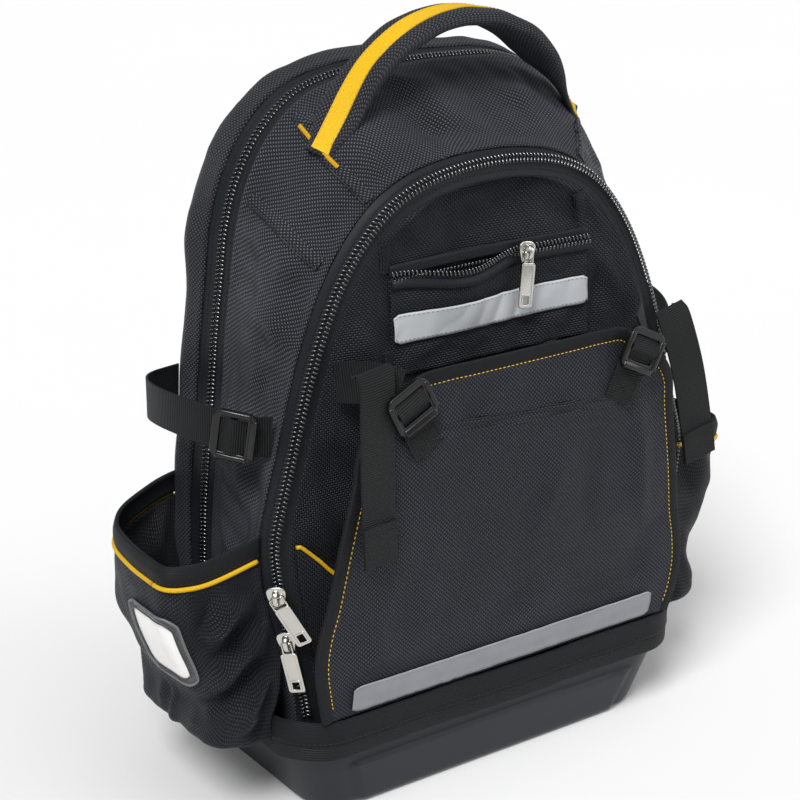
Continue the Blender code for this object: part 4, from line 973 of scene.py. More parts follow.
def addFlap():
    low, top = flapSet["low"] + 0.001, flapSet["top"] - 0.003
    inner = flapRing(0.005)
    half = inner[:161]
    order = np.maximum.accumulate(half[:, 2])
    rows = []
    for z in np.linspace(low, top, 130):
        edge = -np.interp(z, order, half[:, 0])
        x = np.linspace(-1, 1, 141) * edge
        rows.append(np.stack([x, flapDepth(x, z), np.full(141, z)], 1))
    grid = np.array(rows)
    flat = grid[..., [0, 2]]
    tree = treeOf(grid[::3, ::3])
    depth = crumple(grid, 0.075, 0.0011, 23) + foldDepth(grid, tree, flapSet["folds"]) * 2.0
    near = (1 - ease(np.abs(np.linspace(-1, 1, 141)), 0.88, 1.0)) * np.ones(grid.shape[:2])
    near *= ease(top - grid[..., 2], 0.004, 0.022)
    near *= ease(np.abs(grid[..., 2] - flapSet["low"] - 0.0135), 0.010, 0.026)
    grid[..., 1] -= flapSet["thick"] / 2 + depth * near
    clothPiece("frontFlap", grid, flapSet["thick"], looks["flapNylon"], ("front_flap",), flat)
    path = flapRing(flapSet["binding"] / 2)
    run = unit(np.gradient(path, axis=0))
    out = np.broadcast_to(forward, path.shape)
    side = unit(np.cross(run, out))
    tubePiece("flapBinding", path, side, out,
              roundSection(flapSet["binding"] + 0.001, flapSet["bindingThick"], 16, 3.2), looks["grosgrain"],
              ("flap_binding",))
    seam = flapRing(flapSet["binding"] + 0.0002, flapSet["bindingThick"] / 2 - 0.0004)
    stitchRow("flapStitch", seam[4:-4], out[4:-4], looks["thread"], "flap")
    return grid


flapGrid = addFlap()
flapTree = treeOf(flapGrid[::2, ::2])


# a strip that lies on a face given as a function of x and z
def faceStrip(name, half, low, tall, face, lift, thick, look, nodes, seed, wave=0.0006):
    x = np.linspace(-half, half, 91)
    rows = []
    for z in np.linspace(low, low + tall, 13):
        rows.append(np.stack([x, face(x, z) - lift, np.full(91, z)], 1))
    grid = np.array(rows)
    grid[..., 1] -= np.abs(ripples(grid, 0.022, wave, seed))
    end = ease(np.abs(x), half - 0.004, half)
    grid[..., 2] += (np.linspace(0.5, -0.5, 13)[:, None]) * end * 0.004
    clothPiece(name, grid, thick, look, nodes)
    for word, row in (("Low", 1), ("High", 11)):
        out = np.broadcast_to(forward, grid[row].shape)
        stitchRow(name + "Stitch" + word, grid[row], out, looks["greyThread"], "trim")


def flapFace(x, z):
    return flapDepth(x, z) - flapSet["thick"] / 2


lowerHalf = flapSet["half"] * lookUp(flapSet["outline"], 0.12) - flapSet["binding"] - 0.018
faceStrip("lowerReflective", lowerHalf, flapSet["low"] + 0.004, 0.019, flapFace, 0.0014, 0.0006, looks["reflective"],
          ("reflective_lower",), 31)
print("flap made")

# ---- the upper pocket with its half-open zip

pocketSet = {"half": 0.080, "low": 0.296, "mouth": 0.360, "gape": 0.012, "sag": 0.005, "openTo": 0.028,
             "stand": 0.0023,
             "tape": 0.0075,
             "folds": ((400, 360, 455, 335, 5, 1.2), (520, 330, 545, 300, 6, -1.2), (470, 345, 500, 310, 6, 1.0),
                       (560, 320, 572, 280, 5, 1.0))}


def openShare(x):
    middle = (pocketSet["openTo"] - pocketSet["half"]) / 2
    return np.cos(np.clip((x - middle) / ((pocketSet["openTo"] + pocketSet["half"]) / 2), -1, 1) * np.pi / 2) ** 2


def pocketFace(x, z):
    return frontFace(x, z) - pocketSet["stand"] - pocketSet["gape"] * openShare(x) * ease(z, pocketSet["low"],
            pocketSet["mouth"])


def mouthHeight(x):
    return pocketSet["mouth"] - pocketSet["sag"] * openShare(x)


def addUpperPocket():
    x = np.linspace(-pocketSet["half"], pocketSet["half"], 121)
    rows = []
    for share in np.linspace(0, 1, 41):
        z = pocketSet["low"] + (mouthHeight(x) - pocketSet["low"]) * share
        rows.append(np.stack([x, pocketFace(x, z), z], 1))
    grid = np.array(rows)
    flat = grid[..., [0, 2]]
    depth = crumple(grid, 0.035, 0.0009, 37) + foldDepth(grid, treeOf(grid[::2, ::2]), pocketSet["folds"]) * 1.4
    strip = pocketSet["low"] + 0.0305
    grid[..., 1] -= 0.001 + depth * ease(np.abs(grid[..., 2] - strip), 0.009,
                                         0.016) * ease(pocketSet["mouth"] - grid[..., 2], 0.006, 0.016)
    clothPiece("upperPocket", grid, 0.0018, looks["panelShadedNylon"], ("upper_pocket",), flat)
    faceStrip("upperReflective", pocketSet["half"] - 0.001, pocketSet["low"] + 0.021, 0.019, lambda a,
              b: pocketFace(a, b) - 0.001, 0.0018, 0.0006,
              looks["pocketReflectivePaintedLight"], ("reflective_upper",), 41, 0.0008)
    # tape below the mouth and tape above it
    for name, node, above in (("pocketTapeLower", "pocket_zip_lower", False),
                              ("pocketTapeUpper", "pocket_zip_upper", True)):
        rows = []
        for share in np.linspace(0, 1, 6):
            if above:
                z = np.full(121, pocketSet["mouth"] + 0.0004 + pocketSet["tape"] * share)
                y = frontFace(x, z) - pocketSet["stand"] - 0.0006
            else:
                z = mouthHeight(x) - pocketSet["tape"] * (1 - share) - 0.0004
                y = pocketFace(x, z) - 0.0022 - 0.0014 * np.sin(np.pi * share)
            rows.append(np.stack([x, y, z], 1))
        clothPiece(name, np.array(rows), 0.0012, looks["tape"], (node,))
    out = np.broadcast_to(np.array([0.0, -1.0, 0.05]), (121, 3))
    z = mouthHeight(x)
    lowerEdge = np.stack([x, pocketFace(x, z) - 0.0026, z], 1)
    upperEdge = np.stack([x, frontFace(x, z) - pocketSet["stand"] - 0.0018,
                          np.full(121, pocketSet["mouth"] + 0.0008)], 1)
    opened = x < pocketSet["openTo"]
    addChain("pocketCoilLower", lowerEdge[opened] + np.array([0, 0, 0.0010]), out[opened], rows=(1,))
    addChain("pocketCoilUpper", upperEdge[opened] - np.array([0, 0, 0.0010]), out[opened], rows=(-1,))
    addChain("pocketChain", (lowerEdge + upperEdge)[~opened] / 2, out[~opened])
    for word, edge, lift in (("Low", lowerEdge, -0.0062), ("High", upperEdge, 0.0062)):
        stitchRow("pocketStitch" + word, edge + np.array([0, -0.0003, lift]), out, looks["blackThreadAndShadow"],
                  "zip")


addUpperPocket()
print("upper pocket made")

# ---- the pocket behind the flap

innerSet = {"low": 0.098, "side": 0.196, "dip": 0.168, "stand": 0.0018, "gape": 0.0090}


def innerPoint(across, up):
    rim = innerSet["dip"] + (innerSet["side"] - innerSet["dip"]) * ease(np.abs(across), 0.80, 1.0)
    z = innerSet["low"] + (rim - innerSet["low"]) * up
    x = across * (halfWidth(frontLine, z) - bodySet["tape"] - 0.0016)
    gape = ease(up, 0, 0.8) * (1 - ease(np.abs(across), 0.60, 1.0))
    return np.stack([x, frontFace(x, z) - innerSet["stand"] - innerSet["gape"] * gape, z], -1)


def cordPiece(name, path, radius, look, nodes):
    side, up = framesAlong(path, (0.0, 1.0, 0.0))
    turn = np.linspace(0, 2 * np.pi, 12, endpoint=False)
    return tubePiece(name, path, side, up, np.stack([np.cos(turn), np.sin(turn)], 1) * radius, look, nodes)


def addInnerPocket():
    across = np.sin(np.linspace(-np.pi / 2, np.pi / 2, 121))
    grid = np.array([innerPoint(across, up) for up in np.linspace(0, 1, 41)])
    flat = grid[..., [0, 2]]
    grid[..., 1] -= 0.001 + ripples(grid, 0.05, 0.0007, 43) * (1 - ease(np.abs(across), 0.85, 1.0))
    clothPiece("innerPocket", grid, 0.0018, looks["panelShadedNylon"], ("inner_pocket",), flat)
    path = curveThrough(innerPoint(across, 1.0)[::8] + np.array([0, 0, 0.0024]), 121)
    cordPiece("innerPiping", path, 0.0013, looks["trim"], ("inner_pocket_piping",))


addInnerPocket()
print("inner pocket made")

# ---- side pockets

sideSet = {
    "outLeft": 0.067, "outRight": 0.056, "low": 0.060, "piping": 0.189, "frontY": 0.0745, "backY": 0.050,
    "droop": 0.009,
    "plan": ((0.00, 0.000), (0.35, 0.004), (0.74, 0.022), (0.95, 0.085), (1.00, 0.240), (1.01, 0.460), (0.95, 0.700),
             (0.72, 0.880),
             (0.35, 0.965), (0.00, 1.000)),
    "levels": ((0.00, 0.06), (0.015, 0.60), (0.10, 0.68), (0.23, 0.74), (0.45, 0.95), (0.65, 1.00), (0.85, 1.01),
               (1.00, 0.99)),
    "folds": (
        (252, 592, 196, 640, 6, 3.0), (258, 612, 203, 668, 6, -3.0), (262, 632, 210, 690, 7, 3.2),
        (264, 655, 220, 705, 5, -2.6),
        (272, 675, 235, 722, 5, 2.6), (205, 600, 196, 660, 7, -2.2), (225, 600, 214, 640, 6, 1.8),
        (245, 700, 205, 716, 4, 2.4),
        (232, 690, 205, 700, 3.5, -2.0), (262, 705, 236, 730, 4, 2.2), (225, 580, 150, 590, 7, -2.0),
    ),
}


def bodySide(y, z):
    depths, halves = [], []
    for points in stack[3:]:
        half = points[: halfCount + 1]
        depths.append(np.interp(z, half[:, 2], half[:, 1]))
        halves.append(-np.interp(z, half[:, 2], half[:, 0]))
    return np.interp(y, depths[::-1], halves[::-1])


def droop(side, grid, level=1.0):
    out = sideSet["outLeft"] if side < 0 else sideSet["outRight"]
    edge = baseSet["halfWidth"] + baseSet["flare"]
    away = ease(grid[..., 0] * side, edge - 0.004, edge + out * 0.85)
    grid = grid.copy()
    grid[..., 2] -= sideSet["droop"] * away * level
    return grid


def sideRing(side, level, lift=0.0, outwards=0.0, count=17):
    out = sideSet["outLeft"] if side < 0 else sideSet["outRight"]
    z = sideSet["low"] + (sideSet["piping"] - sideSet["low"]) * level + lift
    rim = baseSet["halfWidth"] + baseSet["flare"] + baseSet["bandThick"] + 0.0004
    ends = []
    for y in (-sideSet["frontY"], sideSet["backY"]):
        half = bodySide(y, z)
        half += max(rim - half, 0) * (1 - ease(z, bodySet["bindingTop"] + 0.002, bodySet["bindingTop"] + 0.030))
        ends.append(np.array([side * (half + 0.0007), y]))
    reach = out * lookUp(sideSet["levels"], min(level, 1.0))
    points = []
    for shareOut, shareBack in sideSet["plan"]:
        place = ends[0] + (ends[1] - ends[0]) * shareBack
        place[0] += side * reach * shareOut
        points.append(place)
    line = curveThrough(np.array(points), count)
    if outwards:
        run = np.gradient(line, axis=0)
        line = line + unit(np.stack([run[:, 1], -run[:, 0]], 1)) * side * outwards
    return np.column_stack([line, np.full(len(line), z)])


def sideGrid(side):
    levels = [row[0] for row in sideSet["levels"]]
    coarse = np.array([sideRing(side, level) for level in levels])
    return refine(refine(coarse, 8), 8, axis=1)


def addSidePocket(side, word):
    grid = sideGrid(side)
    out = gridNormals(grid)
    if out[40, 64, 0] * side < 0:
        out = -out
    share = np.linspace(0, 1, grid.shape[1])
    near = ease(share, 0.0, 0.06) * ease(1 - share, 0.0, 0.06)
    depth = crumple(grid, 0.050, 0.0018, 51 + side)
    folds = sideSet["folds"] if side < 0 else ()
    rowLevel = (grid[:, 64, 2] - sideSet["low"]) / (sideSet["piping"] - sideSet["low"])
    around = ease(np.abs(share - 0.381), 0.10, 0.20)[None, :]
    upDown = ease(np.abs(rowLevel - 0.61), 0.22, 0.34)[:, None]
    calm = 0.12 + 0.88 * (around + upDown - around * upDown) if side < 0 else 1.0
    depth += foldDepth(grid, treeOf(grid[::2, ::2]), folds) * 2.6
    # the cloth is gathered where it turns under
    gather = np.exp(-(((grid[..., 2] - 0.078) / 0.016) ** 2))
    uneven = np.sin(share * 2 * np.pi * 7 + 2.2 * np.sin(share * 13)) * (0.6 + 0.4 * np.sin(share * 29))
    depth += gather * 0.0017 * uneven[None, :]
    if side > 0:
        slanted = share[None, :] * 26 + grid[..., 2] * 62
        depth += 0.0026 * np.sin(slanted + 1.3 * np.sin(slanted * 0.37)) * ease(grid[..., 2], 0.075, 0.11)
    near = near * ease(sideSet["piping"] - grid[..., 2], 0.0, 0.010)
    grid = grid + out * (0.001 + depth * calm * near)[..., None]
    grid = droop(side, grid, ease(grid[..., 2], 0.11, sideSet["piping"]))
    flip = grid if side < 0 else grid[:, ::-1]
    clothPiece(f"sidePocket{word}", flip[:, ::-1], 0.0018, looks["panelShadedNylon"],
               (f"side_pocket_{word.lower()}",))
    piping = droop(side, sideRing(side, 1.0, 0.0014, 0.0012, 97))
    cordPiece(f"sidePiping{word}", piping[1:-1], 0.0016, looks["trim"],
              (f"side_piping_{word.lower()}",))
    rim = np.array([sideRing(side, 1.0, 0.0022 + 0.0147 * s, 0.0009 + 0.0011 * np.sin(np.pi * s),
                             129) for s in np.linspace(0, 1, 9)])
    rim = droop(side, rim if side < 0 else rim[:, ::-1])
    clothPiece(f"sideRim{word}", rim[:, ::-1], 0.0026, looks["grosgrain"], (f"side_rim_{word.lower()}",))
    seam = droop(side, sideRing(side, 1.0, 0.0055, 0.0016, 129))
    facing = unit(np.stack([np.gradient(seam[:, 1]), -np.gradient(seam[:, 0]), np.zeros(129)], 1)) * side
    stitchRow(f"sideRimStitch{word}", seam, facing, looks["blackThreadAndShadow"], "rim")
    return grid


pocketLeft = addSidePocket(-1, "Left")
addSidePocket(1, "Right")
print("side pockets made")

# ---- the card window on the left pocket

windowSet = {"first": 4.3 / 16, "last": 7.9 / 16, "low": 0.38, "high": 0.84, "corner": 0.30, "lift": 0.0026}


def windowPoint(share, level, lift):
    rows, columns = pocketLeft.shape[:2]
    levels = np.interp(level, refine(np.array([row[0] for row in sideSet["levels"]])[:, None], 8)[:, 0],
                       np.arange(rows))
    r, c = levels, share * (columns - 1)
    r0, c0 = int(min(r, rows - 2)), int(min(c, columns - 2))
    a, b = r - r0, c - c0
    spot = (pocketSmooth[r0, c0] * (1 - a) * (1 - b) + pocketSmooth[r0 + 1, c0] * a * (1 - b)
            + pocketSmooth[r0, c0 + 1] * (1 - a) * b + pocketSmooth[r0 + 1, c0 + 1] * a * b)
    return spot + pocketOut[r0, c0] * lift


pocketSmooth = sideGrid(-1)
pocketSmooth = droop(-1, pocketSmooth, ease(pocketSmooth[..., 2], 0.11, sideSet["piping"]))
pocketOut = gridNormals(pocketSmooth)
if pocketOut[40, 64, 0] > 0:
    pocketOut = -pocketOut


# shares of the window inside a rounded outline, row by row
def windowGrid(border, lift, rows=33, columns=33):
    found = []
    for v in np.linspace(-1, 1, rows):
        squeeze = 1 - windowSet["corner"] * (max(abs(v) - 0.72, 0) / 0.28) ** 2.4
        line = []
        for u in np.linspace(-1, 1, columns) * squeeze:
            first, last, low, high = (windowSet[key] for key in ("first", "last", "low", "high"))
            share = (first + last) / 2 + u * (last - first) / 2 * (1 - border)
            level = (low + high) / 2 + v * (high - low) / 2 * (1 - border * 0.9)
            line.append(windowPoint(share, level, lift))
        found.append(line)
    return np.array(found)


def addWindow():
    edge = windowGrid(0.0, windowSet["lift"])
    clothPiece("windowFrame", windowGrid(0.0, 0.0016)[:, ::-1], 0.0008, looks["frameVinyl"], ())
    clothPiece("windowCard", windowGrid(0.17, 0.0021)[:, ::-1], 0.0005, looks["card"], ("window_card",))
    clothPiece("windowCover", windowGrid(0.02, 0.0034)[:, ::-1], 0.0004, looks["vinyl"],
               ("window_cover",))
    loop = np.concatenate([edge[0], edge[1:, -1], edge[-1, ::-1][1:], edge[::-1, 0][1:]])
    cordPiece("windowPiping", evenly(loop, 180), 0.0009, looks["greyPiping"], ())
    inner = windowGrid(0.16, 0.0028)
    loop = np.concatenate([inner[0], inner[1:, -1], inner[-1, ::-1][1:], inner[::-1, 0][1:]])
    cordPiece("windowInnerEdge", evenly(loop, 180), 0.0006, looks["frameVinyl"], ())


addWindow()
print("window made")

# ---- webbing straps and their ladder-locks

strapSet = {
    "width": 0.027, "thick": 0.0016, "sideZ": 0.268, "sideOut": 0.042, "lockX": 0.094, "lockDrop": 0.017,
    "stubX": 0.079,
    "stubDrop": 0.047, "seamZ": 0.302, "seamInset": 0.0175,
    "sidePlan": ((0.00, 0.00), (0.34, 0.06), (0.70, 0.22), (0.94, 0.42), (1.00, 0.60), (0.88, 0.78), (0.55, 0.93),
                 (0.00, 1.00)),
    "leftTail": ((0.1180, 0.0262, -0.0075), (0.1182, 0.0325, -0.0085), (0.1188, 0.0362, 0.002),
                 (0.1195, 0.0372, 0.024), (0.1195, 0.0377, 0.055), (0.1185, 0.0372, 0.085), (0.1170, 0.0367, 0.118)),
    "rightTail": ((0.1478, 0.0030, 0.006), (0.1500, 0.0085, 0.014), (0.1600, 0.0130, 0.050), (0.1700, 0.0130, 0.090),
                  (0.1795, 0.0090, 0.122)),
}
lockSet = {"width": 0.034, "length": 0.029, "thick": 0.0045}


def roundedBox(halfX, halfY, radius, centre=0.0, steps=6):
    found = []
    for sx, sy, start in ((1, 1, 0), (-1, 1, 90), (-1, -1, 180), (1, -1, 270)):
        for turn in np.radians(np.linspace(start, start + 90, steps)):
            found.append((centre + sx * (halfX - radius) + radius * np.cos(turn),
                          sy * (halfY - radius) + radius * np.sin(turn)))
    return found


# a flat plate with holes, its edges rounded: outlines are lists of (x, y)
def platePiece(name, outlines, thick, bevel, matrix, look, nodes=(), body=rideOn, lift=0.0):
    curve = bpy.data.curves.new(name + "Outline", "CURVE")
    curve.dimensions = "2D"
    curve.fill_mode = "BOTH"
    curve.extrude = max(thick / 2 - bevel, 0)
    curve.bevel_depth = bevel
    curve.bevel_resolution = 2
    for outline in outlines:
        line = curve.splines.new("POLY")
        line.points.add(len(outline) - 1)
        for point, (x, y) in zip(line.points, outline):
            point.co = (x, y, 0, 1)
        line.use_cyclic_u = True
    obj = bpy.data.objects.new(name, curve)
    bpy.context.scene.collection.objects.link(obj)
    pick(obj)
    bpy.ops.object.convert(target="MESH")
    obj = bpy.context.object
    obj.data.transform(matrix @ Matrix.Translation((0, 0, lift)))
    weld(obj)
    outward(obj)
    return settle(obj, look, nodes, body, angle=40)


def barPiece(name, size, bevel, matrix, look, nodes=(), body=rideOn):
    deselect()
    bpy.ops.mesh.primitive_cube_add(size=1)
    obj = bpy.context.object
    obj.name = name
    bpy.ops.object.mode_set(mode="EDIT")
    bpy.ops.transform.resize(value=size)
    bpy.ops.mesh.bevel(offset=bevel, segments=3, affect="EDGES")
    bpy.ops.object.mode_set(mode="OBJECT")
    obj.data.transform(matrix)
    return settle(obj, look, nodes, body, angle=40)


# the outward way, and the axes of a plate that lies along a strap
def lockAxes(along, out):
    z = (out - along * out.dot(along)).normalized()
    return z, Matrix((along, z.cross(along), z)).transposed().to_4x4()


def ladderLock(name, matrix, node):
    long, wide, thick = lockSet["length"], lockSet["width"], lockSet["thick"]
    outer = []
    for x, y in roundedBox(long / 2 - 0.0008, wide / 2 - 0.0008, 0.005):
        outer.append((x, y * (1 - 0.10 * (x / long * 2) ** 2)))
    slots = [roundedBox(long * 0.115, wide * 0.36, 0.0016, centre) for centre in (long * 0.235, -long * 0.20)]
    platePiece(name, [outer, *slots], thick * 0.8, 0.0008, matrix, looks["buckle"], (node,))
    lip = matrix @ Matrix.Translation((-long * 0.43, 0, thick * 0.30)) @ Matrix.Rotation(0.35, 4, "Y")
    barPiece(name + "Lip", (0.0050, wide * 0.78, 0.0034), 0.0012, lip, looks["buckle"])
    for word, y in (("RailLow", -wide * 0.43), ("RailHigh", wide * 0.43)):
        rail = matrix @ Matrix.Translation((0, y, thick * 0.18))
        barPiece(name + word, (long * 0.72, 0.0042, 0.0044), 0.0015, rail, looks["buckle"])
    # the webbing that shows in the slots
    path = np.array([(-0.0125, 0, -0.0016), (-0.006, 0, -0.0004), (0.0, 0, 0.0030), (0.0055, 0, 0.0006),
                     (0.0125, 0, -0.0016)])
    turned = np.array(matrix)[:3, :3]
    path = path @ turned.T + np.array(matrix)[:3, 3]
    webbing(name + "Webbing", path, turned[:, 1], wide * 0.70, 0.0013, looks["webbing"], "webbing", steps=6)


def flapLockFrame(side):
    off = flapSet["bindingThick"] / 2 + strapSet["thick"] / 2 + 0.0006
    lowZ, cornerZ = flapSet["top"] - strapSet["stubDrop"], flapSet["top"] - strapSet["lockDrop"]
    low = np.array([side * strapSet["stubX"], flapDepth(strapSet["stubX"], lowZ) - off, lowZ])
    corner = np.array([side * strapSet["lockX"], flapDepth(strapSet["lockX"], cornerZ) - off - strapSet["thick"] / 2,
                       cornerZ])
    return low, corner, unit(corner - low)


# a length of the pack's own webbing
def strapPiece(name, path, side, node, steps=4):
    size = strapSet["width"], strapSet["thick"]
    webbing(name, path, side, *size, looks["webbing"], "webbing", (node,), steps)


def hemmed(name, path, side, node):
    path = curveThrough(np.array(path), 25)
    strapPiece(name, path, side, node)
    across, up = framesAlong(path, side)
    # the end is folded back and sewn
    end = path[-6:] + up[-6:] * 0.0016 * (1 if (up[-1] @ np.array([0, -1, 0])) > 0 else -1)
    webbing(name + "Hem", end, side, strapSet["width"] * 0.985, 0.0015, looks["webbing"], "webbing")
    out = np.where((up @ np.array([0, -1, 0]))[:, None] > 0, up, -up)
    row = end[1] + (np.linspace(-0.46, 0.46, 20)[:, None]) * across[-5] * strapSet["width"] + out[-5] * 0.0009
    stitchRow(name + "HemStitch", row, np.broadcast_to(out[-5], row.shape), looks["blackThreadAndShadow"], "hem")


def addFlapStraps():
    for side, word, tail in ((-1, "Left", strapSet["leftTail"]), (1, "Right", strapSet["rightTail"])):
        low, corner, along = flapLockFrame(side)
        across = unit(np.cross(along, forward))
        stub = curveThrough(np.array([low - along * 0.004, low + along * 0.010, corner + along * 0.004]), 9)
        webbing("flapStub" + word, stub, across, strapSet["width"] * 0.96, strapSet["thick"], looks["webbing"],
                "webbing", ("flap_stub_" + word.lower(),))
        box = []
        for u, v in ((-1, -1), (1, -1), (1, 1), (-1, 1), (-1, -1), (1, 1), (1, -1), (-1, 1)):
            box.append(low + along * (0.005 + 0.0065 * v) + across * 0.010 * u + np.array([0, -0.0014, 0]))
        line = np.concatenate([np.linspace(a, b, 12)[:-1] for a, b in zip(box[:-1], box[1:])])
        stitchRow("stubStitch" + word, line, np.broadcast_to(forward, line.shape), looks["blackThreadAndShadow"],
                  "hem")
        z, turned = lockAxes(Vector(along), Vector((0, -1, 0)))
        off = strapSet["thick"] / 2 + lockSet["thick"] / 2 + 0.0004
        ladderLock("flapLock" + word, Matrix.Translation(Vector(corner) + z * off) @ turned,
                   "flap_lock_" + word.lower())
        seamX = halfWidth(frontLine, strapSet["seamZ"]) - strapSet["seamInset"]
        seam = np.array([side * seamX, frontFace(seamX, strapSet["seamZ"]) - 0.003, strapSet["seamZ"]])
        above = corner + along * 0.011 + np.array([0, 0.0022, 0])
        path = curveThrough(np.array([seam, seam + (above - seam) * 0.5 + np.array([0, -0.003, 0.003]), above]), 8)
        turn = np.array([(0.0, 0, 1.0)] * 8)
        turn[:, 0] = np.linspace(0.02, 0.55, 8) * -side
        strapPiece("flapStrap" + word, path, turn, "flap_strap_" + word.lower(), 6)
        hemmed("flapTail" + word,
               [(side * x, -bodySet["frontY"] - stand, flapSet["top"] - drop) for x, stand, drop in tail],
               np.array([1, -0.08 * side, 0.1]), "flap_tail_" + word.lower())


def sideStrapPath(side):
    frontY, backY = -sideSet["frontY"] + 0.004, sideSet["backY"]
    level = strapSet["sideZ"] - strapSet["width"] / 2
    frontX, backX = bodySide(frontY, level) + 0.0012, bodySide(backY, level) + 0.0012
    points = []
    for out, back in strapSet["sidePlan"]:
        x = frontX + (backX - frontX) * back + strapSet["sideOut"] * out
        points.append((side * x, frontY + (backY - frontY) * back, strapSet["sideZ"] + 0.008 * np.sin(np.pi * back)))
    return curveThrough(np.array(points), 15)


def addSideStraps():
    for side, word in ((-1, "Left"), (1, "Right")):
        path = sideStrapPath(side)
        strapPiece("sideStrap" + word, path, (0.0, 0.0, 1.0), "side_strap_" + word.lower(), 6)
        along = Vector(path[3] - path[1]).normalized()
        z, turned = lockAxes(along, along.cross(Vector((0, 0, side))))
        place = Vector(path[2]) + z * (strapSet["thick"] / 2 + lockSet["thick"] / 2 + 0.0008)
        ladderLock("sideLock" + word, Matrix.Translation(place) @ turned, "side_lock_" + word.lower())


addFlapStraps()
addSideStraps()
print("straps made")

# ---- the carrying handle

handleSet = {
    "halfSpan": 0.102, "top": 0.516, "width": 0.030, "thick": 0.012, "foot": 0.35, "stripe": 0.0125, "tucked": 3,
    "narrow": 0.62,
    "twist": ((-0.11, -0.10), (-0.085, -0.34), (-0.04, -0.30), (0.02, 0.05), (0.06, 0.35), (0.11, 0.15)),
    "line": ((1.04, 0.00), (0.99, 0.075), (0.915, 0.22), (0.77, 0.48), (0.57, 0.74), (0.31, 0.93), (0.0, 1.0)),
}


def onRing(values, ringPoints, x):
    half = slice(halfCount, 2 * halfCount + 1)
    return np.array([np.interp(x, ringPoints[half, 0], values[half, k]) for k in range(3)])


def addHandle():
    coarseNormal = -gridNormals(stack)
    if coarseNormal[13, 16, 2] < 0:
        coarseNormal = -coarseNormal
    backRing, middle, frontRing = stack[12], stack[13], stack[14]
    foot = onRing(middle, middle, handleSet["halfSpan"])
    rise = handleSet["top"] - handleSet["thick"] / 2 - foot[2]
    half = []
    for across, up in handleSet["line"]:
        x = handleSet["halfSpan"] * across
        if across > 1:
            facing = unit(onRing(coarseNormal[13], middle, x))
            half.append(onRing(middle, middle, x) + facing * (handleSet["thick"] * handleSet["foot"] / 2 + 0.0028))
        else:
            half.append(np.array([x, foot[1], foot[2] + rise * up]))
    path = curveThrough(np.array(half + [point * (-1, 1, 1) for point in reversed(half[:-1])]), 25)
    away = np.minimum(np.arange(25), 24 - np.arange(25))
    lift = ease(away, 2, 6)[:, None]
    wide = handleSet["halfSpan"] * 1.08
    slope = unit(onRing(backRing, backRing, wide) - onRing(frontRing, frontRing, wide))
    side = np.where((path[:, 0] < 0)[:, None], slope * (-1, 1, 1), slope) * (1 - lift) + np.array([0, 1.0, 0]) * lift
    thick = handleSet["thick"] * (handleSet["foot"] + (1 - handleSet["foot"]) * ease(away, 2, 6))
    path, side, thick = refine(path, 5), refine(side, 5), refine(thick[:, None], 5)[:, 0]
    run = unit(np.gradient(path, axis=0))
    side = unit(side - run * (side * run).sum(axis=1)[:, None])
    up = np.cross(side, run)
    up *= np.where(up[:, 2] < 0, -1, 1)[:, None]
    run = unit(np.gradient(path, axis=0))
    away = np.minimum(np.arange(len(path)), len(path) - 1 - np.arange(len(path)))
    twist = lookUp(handleSet["twist"], path[:, 0])[:, None] * ease(away, 4, 26)[:, None]
    side, up = side * np.cos(twist) - up * np.sin(twist), up * np.cos(twist) + side * np.sin(twist)
    section = roundSection(1.0, 1.0, 40, 3.0)
    # a shallow trough for the stripe, between two rolled edges
    trough = np.exp(-((section[:, 0] / 0.20) ** 4)) * (section[:, 1] > 0)
    narrow = handleSet["narrow"] + (1 - handleSet["narrow"]) * ease(away, 3, 15)
    outlines = np.array([section * (handleSet["width"] * n, t) - np.stack([trough * 0, trough * 0.0011], 1)
                         for t, n in zip(thick, narrow)])
    tucked = slice(handleSet["tucked"], -handleSet["tucked"])
    path, side, up, thick, outlines = path[tucked], side[tucked], up[tucked], thick[tucked], outlines[tucked]
    outlines = np.concatenate([outlines, outlines[:, :1]], axis=1)
    grid = path[:, None] + side[:, None] * outlines[..., 0:1] + up[:, None] * outlines[..., 1:2]
    away = np.minimum(np.arange(len(path)), len(path) - 1 - np.arange(len(path)))
    grid += up[:, None] * (ripples(grid, 0.02, 0.0004, 61))[..., None] * ease(away, 8, 20)[:, None, None]
    obj = gridPiece("handleSleeve", grid)
    weld(obj)
    capEnds(obj)
    outward(obj)
    settle(obj, looks["sleeveNylon"], ("handle_grip",))
    band = path + up * (thick / 2 - 0.0003)[:, None]
    flat = flatSection(handleSet["stripe"], 0.0010)
    tubePiece("handleStripe", band[1:-1], side[1:-1], up[1:-1], flat, looks["trim"],
              ("handle_stripe",), angle=50)
    for word, edge in (("Front", -0.44), ("Back", 0.44)):
        row = band[4:-4] + side[4:-4] * handleSet["stripe"] * edge + up[4:-4] * 0.0006
        stitchRow("stripeStitch" + word, row, up[4:-4], looks["thread"], "trim")


addHandle()


# sewn seams: each runs through pixels of the photograph, on the cloth that it crosses
seamSet = {
    "lip": 0.008, "rise": 0.0019,
    "body": (((251, 198), (280, 226), (306, 252.5), (329, 270)),
             ((298, 114), (319, 147), (341, 170), (364, 194), (376, 207)),
             ((577.5, 121), (580.5, 147), (581, 172)), ((305, 121), (318, 118), (331, 113))),
    "panel": (((386, 212), (385, 240), (386, 273)), ((388, 352), (389, 366), (390, 378)),
              ((578, 186), (581, 210), (583, 232)), ((585, 305), (586, 315), (587, 322))),
    "flap": (((404, 441), (440, 432), (500, 421), (560, 410), (618, 399)),),
}


